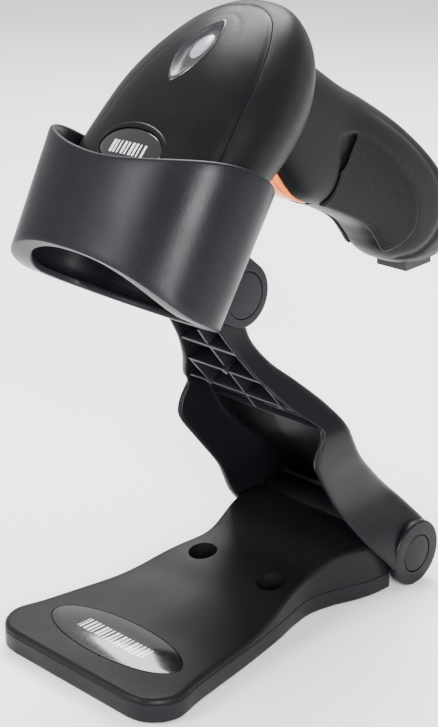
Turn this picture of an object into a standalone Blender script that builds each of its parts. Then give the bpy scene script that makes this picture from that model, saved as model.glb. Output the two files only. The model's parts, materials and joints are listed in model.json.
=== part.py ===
"""Handheld barcode scanner seated in its adjustable counter stand.

Lengths are in millimetres and become metres in the helpers below. Y runs from the front edge of
the base to the hinge at its back, X to the right, Z up. The stand's origin empty puts the world
origin under the middle of the base. The scanner is built in a frame of its own, whose Y runs from
the nose to the back of the head and whose Z points out of the top of the head.
"""

import math

import bmesh
import bpy
from mathutils import Matrix, Vector

MM = 0.001
GAP = 0.3                     # clearance between pieces that touch

# Stand base
BASE_ORIGIN_Y = 70.0          # from the front edge to the origin under the base
PAD_THICK = 1.2
TRAY_BOTTOM = 0.5
SEAM_Z = 7.2                  # seam between tray and cover
BASE_TOP = 9.3
BASE_WALL = 2.5
RECESS_X, RECESS_Y = 17.0, 80.0
RECESS_R = 5.3
SCREW_HOLE_R = 2.3
BASE_BADGE_Y = 21.3
BASE_BADGE = (11.4, 30.4)     # half sizes along Y and X

# Lower hinge (base to arm)
HINGE1_Y, HINGE1_Z = 136.5, 13.0
HUB1_R = 12.6
BARREL1_R = 9.6
BARREL1_X = 32.8
CHEEK1_IN, CHEEK1_OUT = 34.3, 38.1
CAP1_R = 7.0
PIN1_R = 3.0

# Upper hinge (arm to holder)
HINGE2_Y, HINGE2_Z = 68.3, 123.5
EAR_R = 11.3
EAR_IN, EAR_OUT = 9.0, 15.0
KNUCKLE_R, KNUCKLE_X = 10.6, 7.6
CAP2_R = 8.0
PIN2_R = 2.4
WASHER = 0.8

# Arm channel
ARM_WALL = 2.4

# Holder cup: a tapered oval tube, measured along its own axis S from its lower rim plane
CUP_TILT = 60.9
CUP_Y, CUP_Z = 24.6, 133.9
CUP_A0, CUP_A1 = 40.3, 42.1   # half width at S = 0 and S = 45
CUP_D0, CUP_D1 = 26.0, 27.2   # half depth at S = 0 and S = 45
CUP_POWER = 2.3
CUP_WALL = 2.4

# Scanner
SCANNER_TILT = 42.1
NOSE_Y, NOSE_Z = 30.0, 151.4
SHELL = 2.2
HEAD_POWER = 2.34
INDICATOR_U = 60.0
BADGE_U = 18.5
TRIGGER_U, TRIGGER_M = 54.5, -34.5   # trigger pivot in the scanner's frame
SWITCH_M = -50.0                     # height of the trigger switch


# ---------------------------------------------------------------- helpers

def clear_scene():
    for old in list(bpy.data.objects):
        bpy.data.objects.remove(old)


def collection(name):
    made = bpy.data.collections.new(name)
    bpy.context.scene.collection.children.link(made)
    return made


def material(name, colour, roughness, metallic=0.0):
    made = bpy.data.materials.new(name)
    made.use_nodes = True
    shader = made.node_tree.nodes["Principled BSDF"]
    shader.inputs["Base Color"].default_value = (*colour, 1.0)
    shader.inputs["Roughness"].default_value = roughness
    shader.inputs["Metallic"].default_value = metallic
    return made


def empty(name, parent, location=(0, 0, 0), tilt=0.0):
    """A frame for pieces: location in millimetres, tilted about X in degrees."""
    made = bpy.data.objects.new(name, None)
    PARTS.objects.link(made)
    made.parent = parent
    made.location = Vector(location) * MM
    made.rotation_euler = (math.radians(tilt), 0, 0)
    return made


def pivot(name, parent, y, z):
    """An empty on a hinge's axis; what it carries keeps the coordinates of the whole stand."""
    made = empty(name, parent)
    made.location = Vector((0, y, z)) * MM - stand_shift(parent)
    made["stand_shift"] = (0, y * MM, z * MM)
    return made


def stand_shift(frame):
    """Place of a pivot in the stand's coordinates, or zero for a frame with its own."""
    return Vector(frame.get("stand_shift", (0, 0, 0)))


def add(name, bm, parent, look=None):
    """Turns a bmesh in millimetres into an object; with no look it is a hidden cutter."""
    bmesh.ops.recalc_face_normals(bm, faces=bm.faces)
    bmesh.ops.scale(bm, vec=(MM, MM, MM), verts=bm.verts)
    mesh = bpy.data.meshes.new(name)
    bm.to_mesh(mesh)
    bm.free()
    made = bpy.data.objects.new(name, mesh)
    made.parent = parent
    made.location = -stand_shift(parent)
    if look is None:
        CUTTERS.objects.link(made)
        made.hide_render = True
        made.display_type = "WIRE"
    else:
        PARTS.objects.link(made)
        mesh.materials.append(look)
        mesh.shade_smooth()
        mesh.set_sharp_from_angle(angle=math.radians(35))
    return made


def box(low, high):
    bm = bmesh.new()
    bmesh.ops.create_cube(bm, size=1.0)
    low, high = Vector(low), Vector(high)
    bmesh.ops.scale(bm, vec=high - low, verts=bm.verts)
    bmesh.ops.translate(bm, vec=(low + high) / 2, verts=bm.verts)
    return bm


def rod(start, end, radius, sides=32, end_radius=None):
    """A cylinder or cone between two points."""
    start, end = Vector(start), Vector(end)
    axis = end - start
    bm = bmesh.new()
    bmesh.ops.create_cone(bm, cap_ends=True, segments=sides, radius1=radius,
                          radius2=radius if end_radius is None else end_radius, depth=axis.length)
    turn = Vector((0, 0, 1)).rotation_difference(axis).to_matrix().to_4x4()
    bmesh.ops.transform(bm, matrix=Matrix.Translation((start + end) / 2) @ turn, verts=bm.verts)
    return bm


PLANES = {
    "YZ": Matrix(((0, 0, 1), (1, 0, 0), (0, 1, 0))).to_4x4(),
    "XZ": Matrix(((1, 0, 0), (0, 0, -1), (0, 1, 0))).to_4x4(),
    "XY": Matrix.Identity(4),
}


def prism(plane, outline, low, high, resolution=3):
    """A flat outline drawn in a plane and made thick across it, from low to high.

    Points (a, b) are smooth and points (a, b, "V") are corners.
    """
    curve = bpy.data.curves.new("outline", "CURVE")
    curve.dimensions = "2D"
    curve.fill_mode = "BOTH"
    curve.resolution_u = resolution
    curve.extrude = (high - low) / 2
    line = curve.splines.new("BEZIER")
    line.bezier_points.add(len(outline) - 1)
    line.use_cyclic_u = True
    for knot, point in zip(line.bezier_points, outline):
        knot.co = (point[0], point[1], 0)
        kind = "VECTOR" if len(point) > 2 else "AUTO"
        knot.handle_left_type = knot.handle_right_type = kind
    holder = bpy.data.objects.new("outline", curve)
    CUTTERS.objects.link(holder)
    graph = bpy.context.evaluated_depsgraph_get()
    mesh = bpy.data.meshes.new_from_object(holder.evaluated_get(graph))
    bpy.data.objects.remove(holder)
    bm = bmesh.new()
    bm.from_mesh(mesh)
    bmesh.ops.remove_doubles(bm, verts=bm.verts, dist=0.001)
    shift = Matrix.Translation((0, 0, (low + high) / 2))
    if plane == "XZ":
        shift = Matrix.Translation((0, 0, -(low + high) / 2))
    bmesh.ops.transform(bm, matrix=PLANES[plane] @ shift, verts=bm.verts)
    return bm


def loft(rings, closed=False):
    """Joins rings of points that lie one after another; closed makes a tube of them."""
    bm = bmesh.new()
    rows = [[bm.verts.new(point) for point in ring] for ring in rings]
    pairs = list(zip(rows, rows[1:]))
    if closed:
        pairs.append((rows[-1], rows[0]))
    for row, after in pairs:
        for i in range(len(row)):
            j = (i + 1) % len(row)
            bm.faces.new((row[i], row[j], after[j], after[i]))
    if not closed:
        bm.faces.new(rows[0])
        bm.faces.new(rows[-1])
    return bm


def oval(half_x, half_z, power, sides, low_z=None):
    """Points of a superellipse; low_z is its half height below the middle."""
    points = []
    for i in range(sides):
        angle = 2 * math.pi * (i + 0.5) / sides
        c, s = math.cos(angle), math.sin(angle)
        x = math.copysign(abs(c) ** (2 / power), c) * half_x
        z = math.copysign(abs(s) ** (2 / power), s)
        z *= half_z if z > 0 or low_z is None else low_z
        points.append((x, z, angle))
    return points


def combine(target, operation, tool):
    step = target.modifiers.new(operation.lower(), "BOOLEAN")
    step.operation = operation
    step.object = tool


def cut(target, *tools):
    for tool in tools:
        combine(target, "DIFFERENCE", tool)


def join(target, *tools):
    for tool in tools:
        combine(target, "UNION", tool)


def plate(centre_u, half_u, half_x, low, high, sides, power=2.0):
    """A flat oval piece lying in the XY plane of its frame, centred on the middle line."""
    outline = [(x, y + centre_u) for x, y, _ in oval(half_x, half_u, power, sides)]
    return loft([[(x, y, low) for x, y in outline], [(x, y, high) for x, y in outline]])


def mirrored(outline):
    """Right half outline, front to back, completed by its mirror image."""
    left = [(-point[0], *point[1:]) for point in reversed(outline) if point[0] > 0.001]
    return list(outline) + left


# ---------------------------------------------------------------- stand base

BASE_PLAN = [(28, 0, "V"), (37.6, 3.4), (41.2, 12.5), (38.5, 24), (34.7, 48), (31.0, 68), (27.3, 83),
             (26.2, 91.5), (27.8, 101), (31.4, 111), (33.0, 119), (33.3, 127, "V")]
RAMP = [(0, BASE_TOP, "V"), (50, BASE_TOP), (62, 10.8), (77, 14.4), (92, 16.6), (104, 20.2),
        (114, 21.2), (128, 21.2, "V")]


def base_outline(inset):
    """Plan of the base, moved in by inset all round."""
    points = []
    for x, y, *corner in BASE_PLAN:
        y = max(y, 0) + inset if y < 30 else min(y, BASE_PLAN[-1][1] - inset)
        points.append((x - inset, y, *corner))
    return mirrored(points)


def ramp_side(drop, bottom):
    """Side view of the cover, lowered by drop."""
    top = [(y, z - drop, *corner) for y, z, *corner in RAMP]
    return top + [(RAMP[-1][0], bottom, "V"), (0, bottom, "V")]


def make_base():
    tray = add("base_tray", prism("XY", base_outline(0), TRAY_BOTTOM, SEAM_Z - GAP / 2), STAND, BASE_LOOK)
    hollow = add("tray_hollow", prism("XY", base_outline(BASE_WALL), TRAY_BOTTOM + 2, SEAM_Z + 1), STAND)
    under = add("tray_recess", prism("XY", base_outline(3.5), TRAY_BOTTOM - 1, PAD_THICK + GAP), STAND)
    cut(tray, hollow, under)

    cover = add("base_cover", prism("XY", base_outline(0), SEAM_Z + GAP / 2, 30), STAND, BASE_LOOK)
    side = add("cover_side", prism("YZ", ramp_side(0, 0), -60, 60), STAND)
    combine(cover, "INTERSECT", side)
    inner_side = add("cover_inner_side", prism("YZ", ramp_side(2.4, 0), -60, 60), STAND)
    inside = add("cover_inside", prism("XY", base_outline(BASE_WALL), 0, 40), STAND)
    combine(inside, "INTERSECT", inner_side)
    cut(cover, inside)
    bridge = add("hinge_bridge", box((-BARREL1_X, 124, 7.6), (BARREL1_X, HINGE1_Y, 18)), STAND)
    barrel = add("hinge_barrel", rod((-BARREL1_X, HINGE1_Y, HINGE1_Z), (BARREL1_X, HINGE1_Y, HINGE1_Z),
                                     BARREL1_R, 40), STAND)
    join(cover, bridge, barrel)
    bore = add("barrel_bore", rod((-50, HINGE1_Y, HINGE1_Z), (50, HINGE1_Y, HINGE1_Z), PIN1_R + GAP, 24),
               STAND)
    cut(cover, bore)

    weight = add("base_weight_plate", prism("XY", base_outline(BASE_WALL + 3.2), 2.8, 6.6), STAND, STEEL)
    pad = add("base_nonslip_pad", prism("XY", base_outline(3.9), 0, PAD_THICK), STAND, RUBBER)
    for side_name, sign in (("left", -1), ("right", 1)):
        x = sign * RECESS_X
        cup = add(f"recess_cup_{side_name}", rod((x, RECESS_Y, 2.8), (x, RECESS_Y, 14), RECESS_R + 1.5),
                  STAND)
        well = add(f"recess_well_{side_name}", rod((x, RECESS_Y, 4.8), (x, RECESS_Y, 30), RECESS_R), STAND)
        hole = add(f"recess_hole_{side_name}", rod((x, RECESS_Y, -1), (x, RECESS_Y, 8), SCREW_HOLE_R, 20),
                   STAND)
        around = add(f"recess_room_{side_name}", rod((x, RECESS_Y, 2.7), (x, RECESS_Y, 8),
                                                    RECESS_R + 2.1), STAND)
        join(cover, cup)
        cut(cover, well, hole)
        cut(weight, around)
        cut(tray, hole)
        cut(pad, hole)

    for name, x, y in (("front_left", -30, 20), ("front_right", 30, 20),
                       ("rear_left", -25, 112), ("rear_right", 25, 112)):
        make_base_screw(name, x, y, tray, cover, weight, pad)

    half_y, half_x = BASE_BADGE
    add("base_badge", plate(BASE_BADGE_Y, half_y, half_x, BASE_TOP - 0.6, BASE_TOP, 40), STAND, BADGE_LOOK)
    bed = add("badge_bed", plate(BASE_BADGE_Y, half_y + GAP, half_x + GAP, BASE_TOP - 0.9, BASE_TOP + 2, 40),
              STAND)
    cut(cover, bed)


def make_base_screw(name, x, y, tray, cover, weight, pad):
    """Self-tapping screw from below that holds the cover down on the tray."""
    boss = add(f"screw_boss_{name}", rod((x, y, 2), (x, y, SEAM_Z - GAP), 3.6, 20), STAND)
    head_room = add(f"screw_sink_{name}", rod((x, y, -1), (x, y, 3.4), 2.9, 20), STAND)
    shank_room = add(f"screw_way_{name}", rod((x, y, 0), (x, y, 8.6), 1.4, 16), STAND)
    weight_room = add(f"screw_room_{name}", rod((x, y, 0), (x, y, 8), 4.2, 20), STAND)
    pad_room = add(f"screw_pad_way_{name}", rod((x, y, -1), (x, y, 3), 3.4, 20), STAND)
    join(tray, boss)
    cut(tray, head_room, shank_room)
    cut(cover, shank_room)
    cut(weight, weight_room)
    cut(pad, pad_room)
    screw = add(f"base_screw_{name}", rod((x, y, 1.6), (x, y, 3.1), 2.5, 20), STAND, ZINC)
    shank = add(f"screw_shank_{name}", rod((x, y, 2.5), (x, y, 8.2), 1.1, 12), STAND)
    cross = add(f"screw_cross_{name}", box((x - 1.4, y - 0.35, 1), (x + 1.4, y + 0.35, 2.2)), STAND)
    join(screw, shank)
    cut(screw, cross)


# ---------------------------------------------------------------- arm

# Side view of the arm, (Y, Z): its open front edge from the top down, then its back from the bottom up
ARM_FRONT = [(60.5, 110), (65.1, 103.3), (72.1, 92.7), (79.5, 83), (87.6, 75.3, "V"), (87.4, 72.2),
             (84.4, 67), (84.2, 62), (90.3, 53), (99.7, 40.5), (111.5, 24), (123.8, 11)]
ARM_BACK = [(145.3, 23.2), (138.8, 30.9), (132.6, 37), (119.9, 49.1), (108.8, 60.3), (104.0, 68),
            (101, 74.2), (95.4, 82.6), (86.5, 91.8), (77.5, 101), (74.3, 106), (72.3, 112)]
# Front view of the arm, (Z, half width)
ARM_WIDTH = [(0, 38.1), (13, 38.0), (23, 36.0), (33, 32.4), (41, 30.6), (53, 32.4), (62, 34.2), (73, 34.4),
             (80, 29.6), (86, 24.8), (92.7, 19.4), (98, 16.6), (104, 14.4), (112, 13.2), (126, 12.6)]
# Cross ribs: place of each front edge, and half length
RIB_LINES = [(65.6, 102.8), (74.0, 90.8), (83.6, 79.4)]
RIB_HALF = [13.4, 18.1, 22.0]


def arm_front_view(inset):
    right = [(w - inset, z) for z, w in ARM_WIDTH]
    right[0] = (*right[0], "V")
    right[-1] = (*right[-1], "V")
    return mirrored(right)


def hub_arc(radius, start, end, steps):
    """Points of an arc about the lower hinge, angles in degrees from +Y towards +Z."""
    arc = []
    for i in range(steps + 1):
        angle = math.radians(start + (end - start) * i / steps)
        arc.append((HINGE1_Y + radius * math.cos(angle), HINGE1_Z + radius * math.sin(angle)))
    return arc


def make_arm():
    side = ARM_FRONT + hub_arc(HUB1_R, -150, 20, 7) + ARM_BACK
    side.append((HINGE2_Y, HINGE2_Z, "V"))
    arm = add("arm_shell", prism("YZ", side, -40, 40, 2), ARM, ARM_LOOK)
    front = add("arm_front_view", prism("XZ", arm_front_view(0), 0, 200, 2), ARM)
    combine(arm, "INTERSECT", front)

    web = [(y - 2.0, z - 1.5) for y, z in ARM_BACK]
    hollow_side = [(50, -20, "V"), (152, -20, "V")] + hub_arc(HUB1_R - ARM_WALL, -40, 15, 4) + web
    hollow_side += [(66, 120, "V"), (40, 118, "V")]
    hollow = add("arm_hollow", prism("YZ", hollow_side, -40, 40, 2), ARM)
    inner_front = add("arm_inner_front", prism("XZ", arm_front_view(ARM_WALL), -5, 205, 2), ARM)
    combine(hollow, "INTERSECT", inner_front)
    cut(arm, hollow)

    for number, (y, z) in enumerate(RIB_LINES):
        rib = add(f"arm_rib_{number}", slanted_rib(y, z, RIB_HALF[number]), ARM)
        join(arm, rib)
    spine = add("arm_rib_spine", prism("YZ", [(63.5, 105.5, "V"), (83.6, 79.4, "V"), (98.2, 80.5, "V"),
                                             (74.8, 106.5, "V")], -0.6, 0.6), ARM)
    join(arm, spine)
    for side_name, sign in (("left", -1), ("right", 1)):
        ear_room = add(f"ear_room_{side_name}", rod((sign * (KNUCKLE_X + 0.05), HINGE2_Y, HINGE2_Z),
                                                    (sign * 22, HINGE2_Y, HINGE2_Z), EAR_R + 0.6, 40), ARM)
        cut(arm, ear_room)
        cap_bed = add(f"cap1_bed_{side_name}", rod((sign * (CHEEK1_OUT - 1.4), HINGE1_Y, HINGE1_Z),
                                                   (sign * 45, HINGE1_Y, HINGE1_Z), CAP1_R + GAP), ARM)
        cheek = add(f"arm_cheek_{side_name}", rod((sign * CHEEK1_IN, HINGE1_Y, HINGE1_Z),
                                                  (sign * CHEEK1_OUT, HINGE1_Y, HINGE1_Z), HUB1_R, 48), ARM)
        join(arm, cheek)
        cut(arm, cap_bed)
        add(f"lower_hinge_cap_{side_name}",
            rod((sign * (CHEEK1_OUT - 1.1), HINGE1_Y, HINGE1_Z), (sign * CHEEK1_OUT, HINGE1_Y, HINGE1_Z),
                CAP1_R), ARM, ARM_LOOK)
    knuckle = add("arm_knuckle", rod((-KNUCKLE_X, HINGE2_Y, HINGE2_Z), (KNUCKLE_X, HINGE2_Y, HINGE2_Z),
                                     KNUCKLE_R, 36), ARM)
    join(arm, knuckle)
    bore1 = add("arm_bore1", rod((-50, HINGE1_Y, HINGE1_Z), (50, HINGE1_Y, HINGE1_Z), PIN1_R + GAP, 24), ARM)
    bore2 = add("arm_bore2", rod((-50, HINGE2_Y, HINGE2_Z), (50, HINGE2_Y, HINGE2_Z), PIN2_R + GAP, 24), ARM)
    cut(arm, bore1, bore2)


def slanted_rib(y, z, half):
    """Cross rib from the open front edge to the web, square to the front edge."""
    slope = math.radians(37)
    run = Vector((math.cos(slope), math.sin(slope)))
    across = Vector((-run.y, run.x)) * 0.6
    start, end = Vector((y, z)), Vector((y, z)) + run * 12.2
    corners = [start - across, end - across, end + across, start + across]
    return prism("YZ", [(p.x, p.y, "V") for p in corners], -half, half)


def make_hinge_hardware():
    add("lower_hinge_pin", rod((-36.3, HINGE1_Y, HINGE1_Z), (36.3, HINGE1_Y, HINGE1_Z), PIN1_R, 24),
        STAND, STEEL)
    add("upper_hinge_pin", rod((-13.2, HINGE2_Y, HINGE2_Z), (13.2, HINGE2_Y, HINGE2_Z), PIN2_R, 24),
        ARM, STEEL)
    for side_name, sign in (("left", -1), ("right", 1)):
        for level, y, z, x, radius, pin, frame in (
                ("lower", HINGE1_Y, HINGE1_Z, BARREL1_X + GAP, 6.4, PIN1_R, STAND),
                ("upper", HINGE2_Y, HINGE2_Z, KNUCKLE_X + GAP, 7.6, PIN2_R, ARM)):
            washer = add(f"{level}_friction_washer_{side_name}",
                         rod((sign * x, y, z), (sign * (x + WASHER), y, z), radius, 28), frame, NYLON)
            hole = add(f"{level}_washer_hole_{side_name}",
                       rod((sign * (x - 2), y, z), (sign * (x + 3), y, z), pin + GAP, 20), frame)
            cut(washer, hole)


# ---------------------------------------------------------------- holder

def cup_point(x, depth, s):
    """Point of the cup at height s on its axis and depth towards its near wall."""
    tilt = math.radians(CUP_TILT)
    return (x, CUP_Y + s * math.cos(tilt) - depth * math.sin(tilt),
            CUP_Z + s * math.sin(tilt) + depth * math.cos(tilt))


def cup_rim(angle):
    return 35.0 + 9.5 * (math.cos(angle) ** 2) ** 0.8


def cup_foot(angle):
    return -3.5 + (8.0 * math.sin(angle) ** 1.6 if math.sin(angle) > 0 else 0.0)


def cup_ring(inset_x, inset_z, height):
    """One ring; height(angle) gives the place along the axis."""
    ring = []
    sides = 40
    for i in range(sides):
        angle = 2 * math.pi * i / sides
        s = height(angle)
        half_x = CUP_A0 + (CUP_A1 - CUP_A0) * s / 45 - inset_x
        half_z = CUP_D0 + (CUP_D1 - CUP_D0) * s / 45 - inset_z
        c, n = math.cos(angle), math.sin(angle)
        x = math.copysign(abs(c) ** (2 / CUP_POWER), c) * half_x
        z = math.copysign(abs(n) ** (2 / CUP_POWER), n) * half_z
        ring.append(cup_point(x, z, s))
    return ring


def make_holder():
    lip = 2.2
    rings = [cup_ring(0, 0, cup_foot),
             cup_ring(0, 0, lambda a: (cup_foot(a) + cup_rim(a)) / 2),
             cup_ring(0, 0, cup_rim),
             cup_ring(CUP_WALL, CUP_WALL, cup_rim),
             cup_ring(CUP_WALL, CUP_WALL, lambda a: cup_foot(a) + lip),
             cup_ring(9.0, 4.2, lambda a: cup_foot(a) + lip),
             cup_ring(9.0, 4.2, cup_foot)]
    cup = add("holder_cup", loft(rings, closed=True), HOLDER, HOLDER_LOOK)
    wedge = [(46.9, 122.6, "V"), (60.5, 114.4, "V"), (70, 112.4, "V"), (79.2, 126.5, "V"), (75.2, 132.4, "V"),
             (60.0, 145.6, "V")]
    for side_name, sign in (("left", -1), ("right", 1)):
        inner, outer = sorted((sign * EAR_IN, sign * EAR_OUT))
        web = add(f"ear_web_{side_name}", prism("YZ", wedge, inner, outer), HOLDER)
        disc = add(f"ear_disc_{side_name}", rod((inner, HINGE2_Y, HINGE2_Z), (outer, HINGE2_Y, HINGE2_Z),
                                                EAR_R, 48), HOLDER)
        bed = add(f"cap2_bed_{side_name}", rod((sign * (EAR_OUT - 1.4), HINGE2_Y, HINGE2_Z),
                                               (sign * 22, HINGE2_Y, HINGE2_Z), CAP2_R + GAP), HOLDER)
        join(cup, web, disc)
        cut(cup, bed)
        add(f"upper_hinge_cap_{side_name}",
            rod((sign * (EAR_OUT - 1.1), HINGE2_Y, HINGE2_Z), (sign * EAR_OUT, HINGE2_Y, HINGE2_Z),
                CAP2_R), HOLDER, HOLDER_LOOK)
    bore = add("ear_bore", rod((-30, HINGE2_Y, HINGE2_Z), (30, HINGE2_Y, HINGE2_Z), PIN2_R + GAP, 24), HOLDER)
    cut(cup, bore)


# ---------------------------------------------------------------- scanner

# Head: distance from the nose, half width, height above and below the head's axis
HEAD = [(0, 33.6, 16.0, 17.5), (15, 34.2, 17.4, 18.6), (30, 34.4, 18.6, 20.6), (45, 33.8, 19.0, 23.2),
        (57, 31.4, 18.0, 24.4), (67, 28.2, 16.0, 23.4), (76, 24.0, 13.4, 20.0), (83, 18.6, 10.2, 15.4),
        (87.4, 12.4, 7.0, 10.4), (89.6, 5.6, 3.4, 5.0)]
# Handle: front and back of each section in the scanner's frame, and half width
HANDLE = [((53.0, -12.0), (80.0, -4.0), 19.0), ((50.5, -33.0), (86.0, -20.0), 18.0),
          ((49.5, -50.0), (91.5, -38.0), 17.0), ((56.6, -63.5), (97.5, -54.0), 16.4),
          ((62.1, -76.2), (104.3, -76.0), 16.2), ((65.4, -86.0), (108.0, -97.5), 16.4),
          ((65.8, -94.0), (107.4, -114.5), 16.6), ((65.2, -101.0), (101.6, -125.5), 16.0),
          ((66.4, -108.0), (94.0, -130.0), 14.0), ((68.6, -113.2), (89.4, -130.6), 12.4)]
COVER_PLAN = [(29.6, 4.0, "V"), (29.6, 18), (29.2, 29), (27.6, 42), (25.4, 54), (21.2, 66), (14.8, 76.5),
              (7.6, 81.4), (0, 82.8)]
HEAD_SIDES = 32
HANDLE_SIDES = 26


def head_rings(inset):
    rings = []
    for u, half, high, low in HEAD:
        place = max(u, inset) if u < 20 else u - inset * max(0.0, (u - 60) / 30)
        reduce = min(inset, half * 0.6)
        section = oval(half - reduce, max(high - inset, 0.8), HEAD_POWER, HEAD_SIDES, max(low - inset, 0.8))
        rings.append([(x, place, z) for x, z, _ in section])
    return rings


def handle_rings(inset, last=None):
    rings = []
    for front, back, half in HANDLE[:last]:
        front, back = Vector(front), Vector(back)
        middle = (front + back) / 2
        reach = (back - front) / 2
        scale = 1 - inset / reach.length
        ring = []
        for x, z, _ in oval(half - inset, 1.0, 2.4, HANDLE_SIDES):
            place = middle + reach * scale * z
            ring.append((x, place.x, place.y))
        rings.append(ring)
    return rings


def make_scanner_shells():
    """Top cover and the two body halves, each 2.2 mm thick."""
    head_in = add("head_inside", loft(head_rings(SHELL)), SCANNER)
    handle_in = add("handle_inside", loft(handle_rings(SHELL, -1)), SCANNER)
    cover = add("scanner_top_cover", loft(head_rings(0)), SCANNER, COVER_LOOK)
    plan = add("cover_plan", prism("XY", mirrored(COVER_PLAN), 3, 40), SCANNER)
    combine(cover, "INTERSECT", plan)
    cut(cover, head_in)
    grown = [(x + GAP if x > 0 else 0, y + (GAP if y > 60 else 0) - (GAP if y < 10 else 0), *corner)
             for x, y, *corner in COVER_PLAN]
    opening = add("cover_opening", prism("XY", mirrored(grown), 3 - GAP, 40), SCANNER)
    tools = scanner_cutters()
    for side_name, sign in (("left", -1), ("right", 1)):
        body = add(f"scanner_body_{side_name}", loft(head_rings(0)), SCANNER, BODY_LOOK)
        handle = add(f"handle_outside_{side_name}", loft(handle_rings(0)), SCANNER)
        low, high = sorted((sign * 60, sign * 0.12))
        half = add(f"body_half_{side_name}", box((low, -20, -160), (high, 140, 60)), SCANNER)
        join(body, handle)
        cut(body, head_in, handle_in, opening)
        cut(body, *tools)
        combine(body, "INTERSECT", half)
    cut(cover, *make_cover_details())


def scanner_cutters():
    """Openings shared by both body halves: window, trigger slot, cable socket, grip beds."""
    window = add("window_opening", box((-20, -3, -9.5), (20, 3.4, 8.6)), SCANNER)
    slot = add("trigger_slot", box((-6.6, 40, -59.0), (6.6, 58, -29.4)), SCANNER)
    socket = add("socket_opening", box((-7.3, -8, -7), (7.3, 8, 12)), SOCKET)
    pin = add("trigger_pin_bore", rod((-16, TRIGGER_U, TRIGGER_M), (16, TRIGGER_U, TRIGGER_M), 1.3, 16),
              SCANNER)
    return window, slot, socket, pin


def make_cover_details():
    """Badge, indicator lens with its bezel; gives back the openings that the cover needs for them."""
    add("indicator_lens", plate(INDICATOR_U, 5.4, 2.5, 15.0, 18.4, 28), SCANNER, LENS_LOOK)
    bezel = add("indicator_bezel", plate(INDICATOR_U - 1, 12.6, 5.4, 14.2, 17.6, 32, 1.8), SCANNER,
                BEZEL_LOOK)
    cut(bezel, add("lens_room", plate(INDICATOR_U, 5.7, 2.8, 10, 24, 28), SCANNER))
    bezel_room = add("bezel_room", plate(INDICATOR_U - 1, 12.9, 5.7, 10, 24, 32, 1.8), SCANNER)
    add("scanner_badge", plate(BADGE_U, 6.4, 13.4, 17.0, 18.6, 36), SCANNER, BADGE_LOOK)
    badge_room = add("badge_room", plate(BADGE_U, 6.7, 13.7, 16.7, 24, 36), SCANNER)
    return bezel_room, badge_room


def make_trigger():
    face = [(51.6, -30.4, "V"), (48.8, -37), (48.4, -43), (50.4, -50), (53.2, -56.4), (55.8, -57.2),
            (55.2, -50), (54.4, -45), (56.4, -39.4), (57.6, -34.6), (55.8, -31.4, "V")]
    trigger = add("trigger_button", prism("YZ", [(u - TRIGGER_U, m - TRIGGER_M, *c) for u, m, *c in face],
                                          -6.0, 6.0), TRIGGER, TRIGGER_LOOK)
    post_m = SWITCH_M - TRIGGER_M
    post = add("trigger_post", box((-1.6, -2.5, post_m - 1.5), (1.6, 6.4, post_m + 1.5)), TRIGGER)
    bore = add("trigger_bore", rod((-10, 0, 0), (10, 0, 0), 1.3, 16), TRIGGER)
    join(trigger, post)
    cut(trigger, bore)
    add("trigger_pin", rod((-11, TRIGGER_U, TRIGGER_M), (11, TRIGGER_U, TRIGGER_M), 1.0, 16), SCANNER, STEEL)
    leaf = [(73.6, -36.2), (64.5, -37.0), (56.9, -42.4), (57.2, -42.8), (64.7, -37.4), (73.6, -36.6)]
    add("trigger_spring", prism("YZ", [(u, m, "V") for u, m in leaf], 2.6, 5.6), SCANNER, STEEL)


def make_scanner_internals():
    """Imaging module behind the window, boards, switch, buzzer and the cable socket."""
    add("exit_window", box((-19.7, 0.4, -9.2), (19.7, 1.9, 8.3)), SCANNER, WINDOW_LOOK)
    bracket = add("imager_bracket", box((-14, 14, -9), (14, 30, 8)), SCANNER, BRACKET_LOOK)
    pocket = add("imager_pocket", box((-11, 10, -6), (11, 28, 6)), SCANNER)
    cut(bracket, pocket)
    sensor = add("image_sensor_board", box((-10.5, 25.6, -5.6), (10.5, 27.2, 5.6)), SCANNER, PCB_LOOK)
    barrel = add("imager_lens_barrel", rod((-2, 15, 0), (-2, 25.2, 0), 4.6, 28), SCANNER, BRACKET_LOOK)
    bore = add("lens_bore", rod((-2, 10, 0), (-2, 21, 0), 3.4, 24), SCANNER)
    cut(barrel, bore)
    add("imager_lens", rod((-2, 17, 0), (-2, 20, 0), 3.1, 24), SCANNER, GLASS_LOOK)
    for name, x in (("illumination_led_right", 7.6), ("illumination_led_left", -9.0)):
        add(name, rod((x, 20, 2.6), (x, 25.2, 2.6), 1.5, 16), SCANNER, LED_LOOK)
    add("aimer_led", rod((7.6, 20, -3), (7.6, 25.2, -3), 1.2, 16), SCANNER, AIMER_LOOK)
    add("main_board", box((-21, 33, -6.0), (21, 72, -4.4)), SCANNER, PCB_LOOK)
    add("decoder_chip", box((-7, 44, -4.1), (7, 58, -2.6)), SCANNER, CHIP_LOOK)
    add("indicator_led", box((-1.6, 58.4, -4.1), (1.6, 61.6, -2.9)), SCANNER, LED_LOOK)
    add("buzzer", rod((14, 64, -4.1), (14, 64, 0.4), 4.5, 24), SCANNER, CHIP_LOOK)
    add("handle_board", box((-9, 74, -88), (9, 75.6, -30)), SCANNER, PCB_LOOK)
    add("trigger_switch", box((-3, 68, SWITCH_M - 4), (3, 73.7, SWITCH_M + 4)), SCANNER, CHIP_LOOK)
    add("switch_plunger", rod((0, 62.8, SWITCH_M), (0, 67.7, SWITCH_M), 1.6, 16), SCANNER, NYLON)
    jack = add("cable_socket", box((-7, -7.4, -6.4), (7, 7.4, 10.8)), SOCKET, CHIP_LOOK)
    jack_hole = add("cable_socket_hole", box((-5.5, -5.4, -10), (5.5, 5.4, 8)), SOCKET)
    cut(jack, jack_hole)


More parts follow.
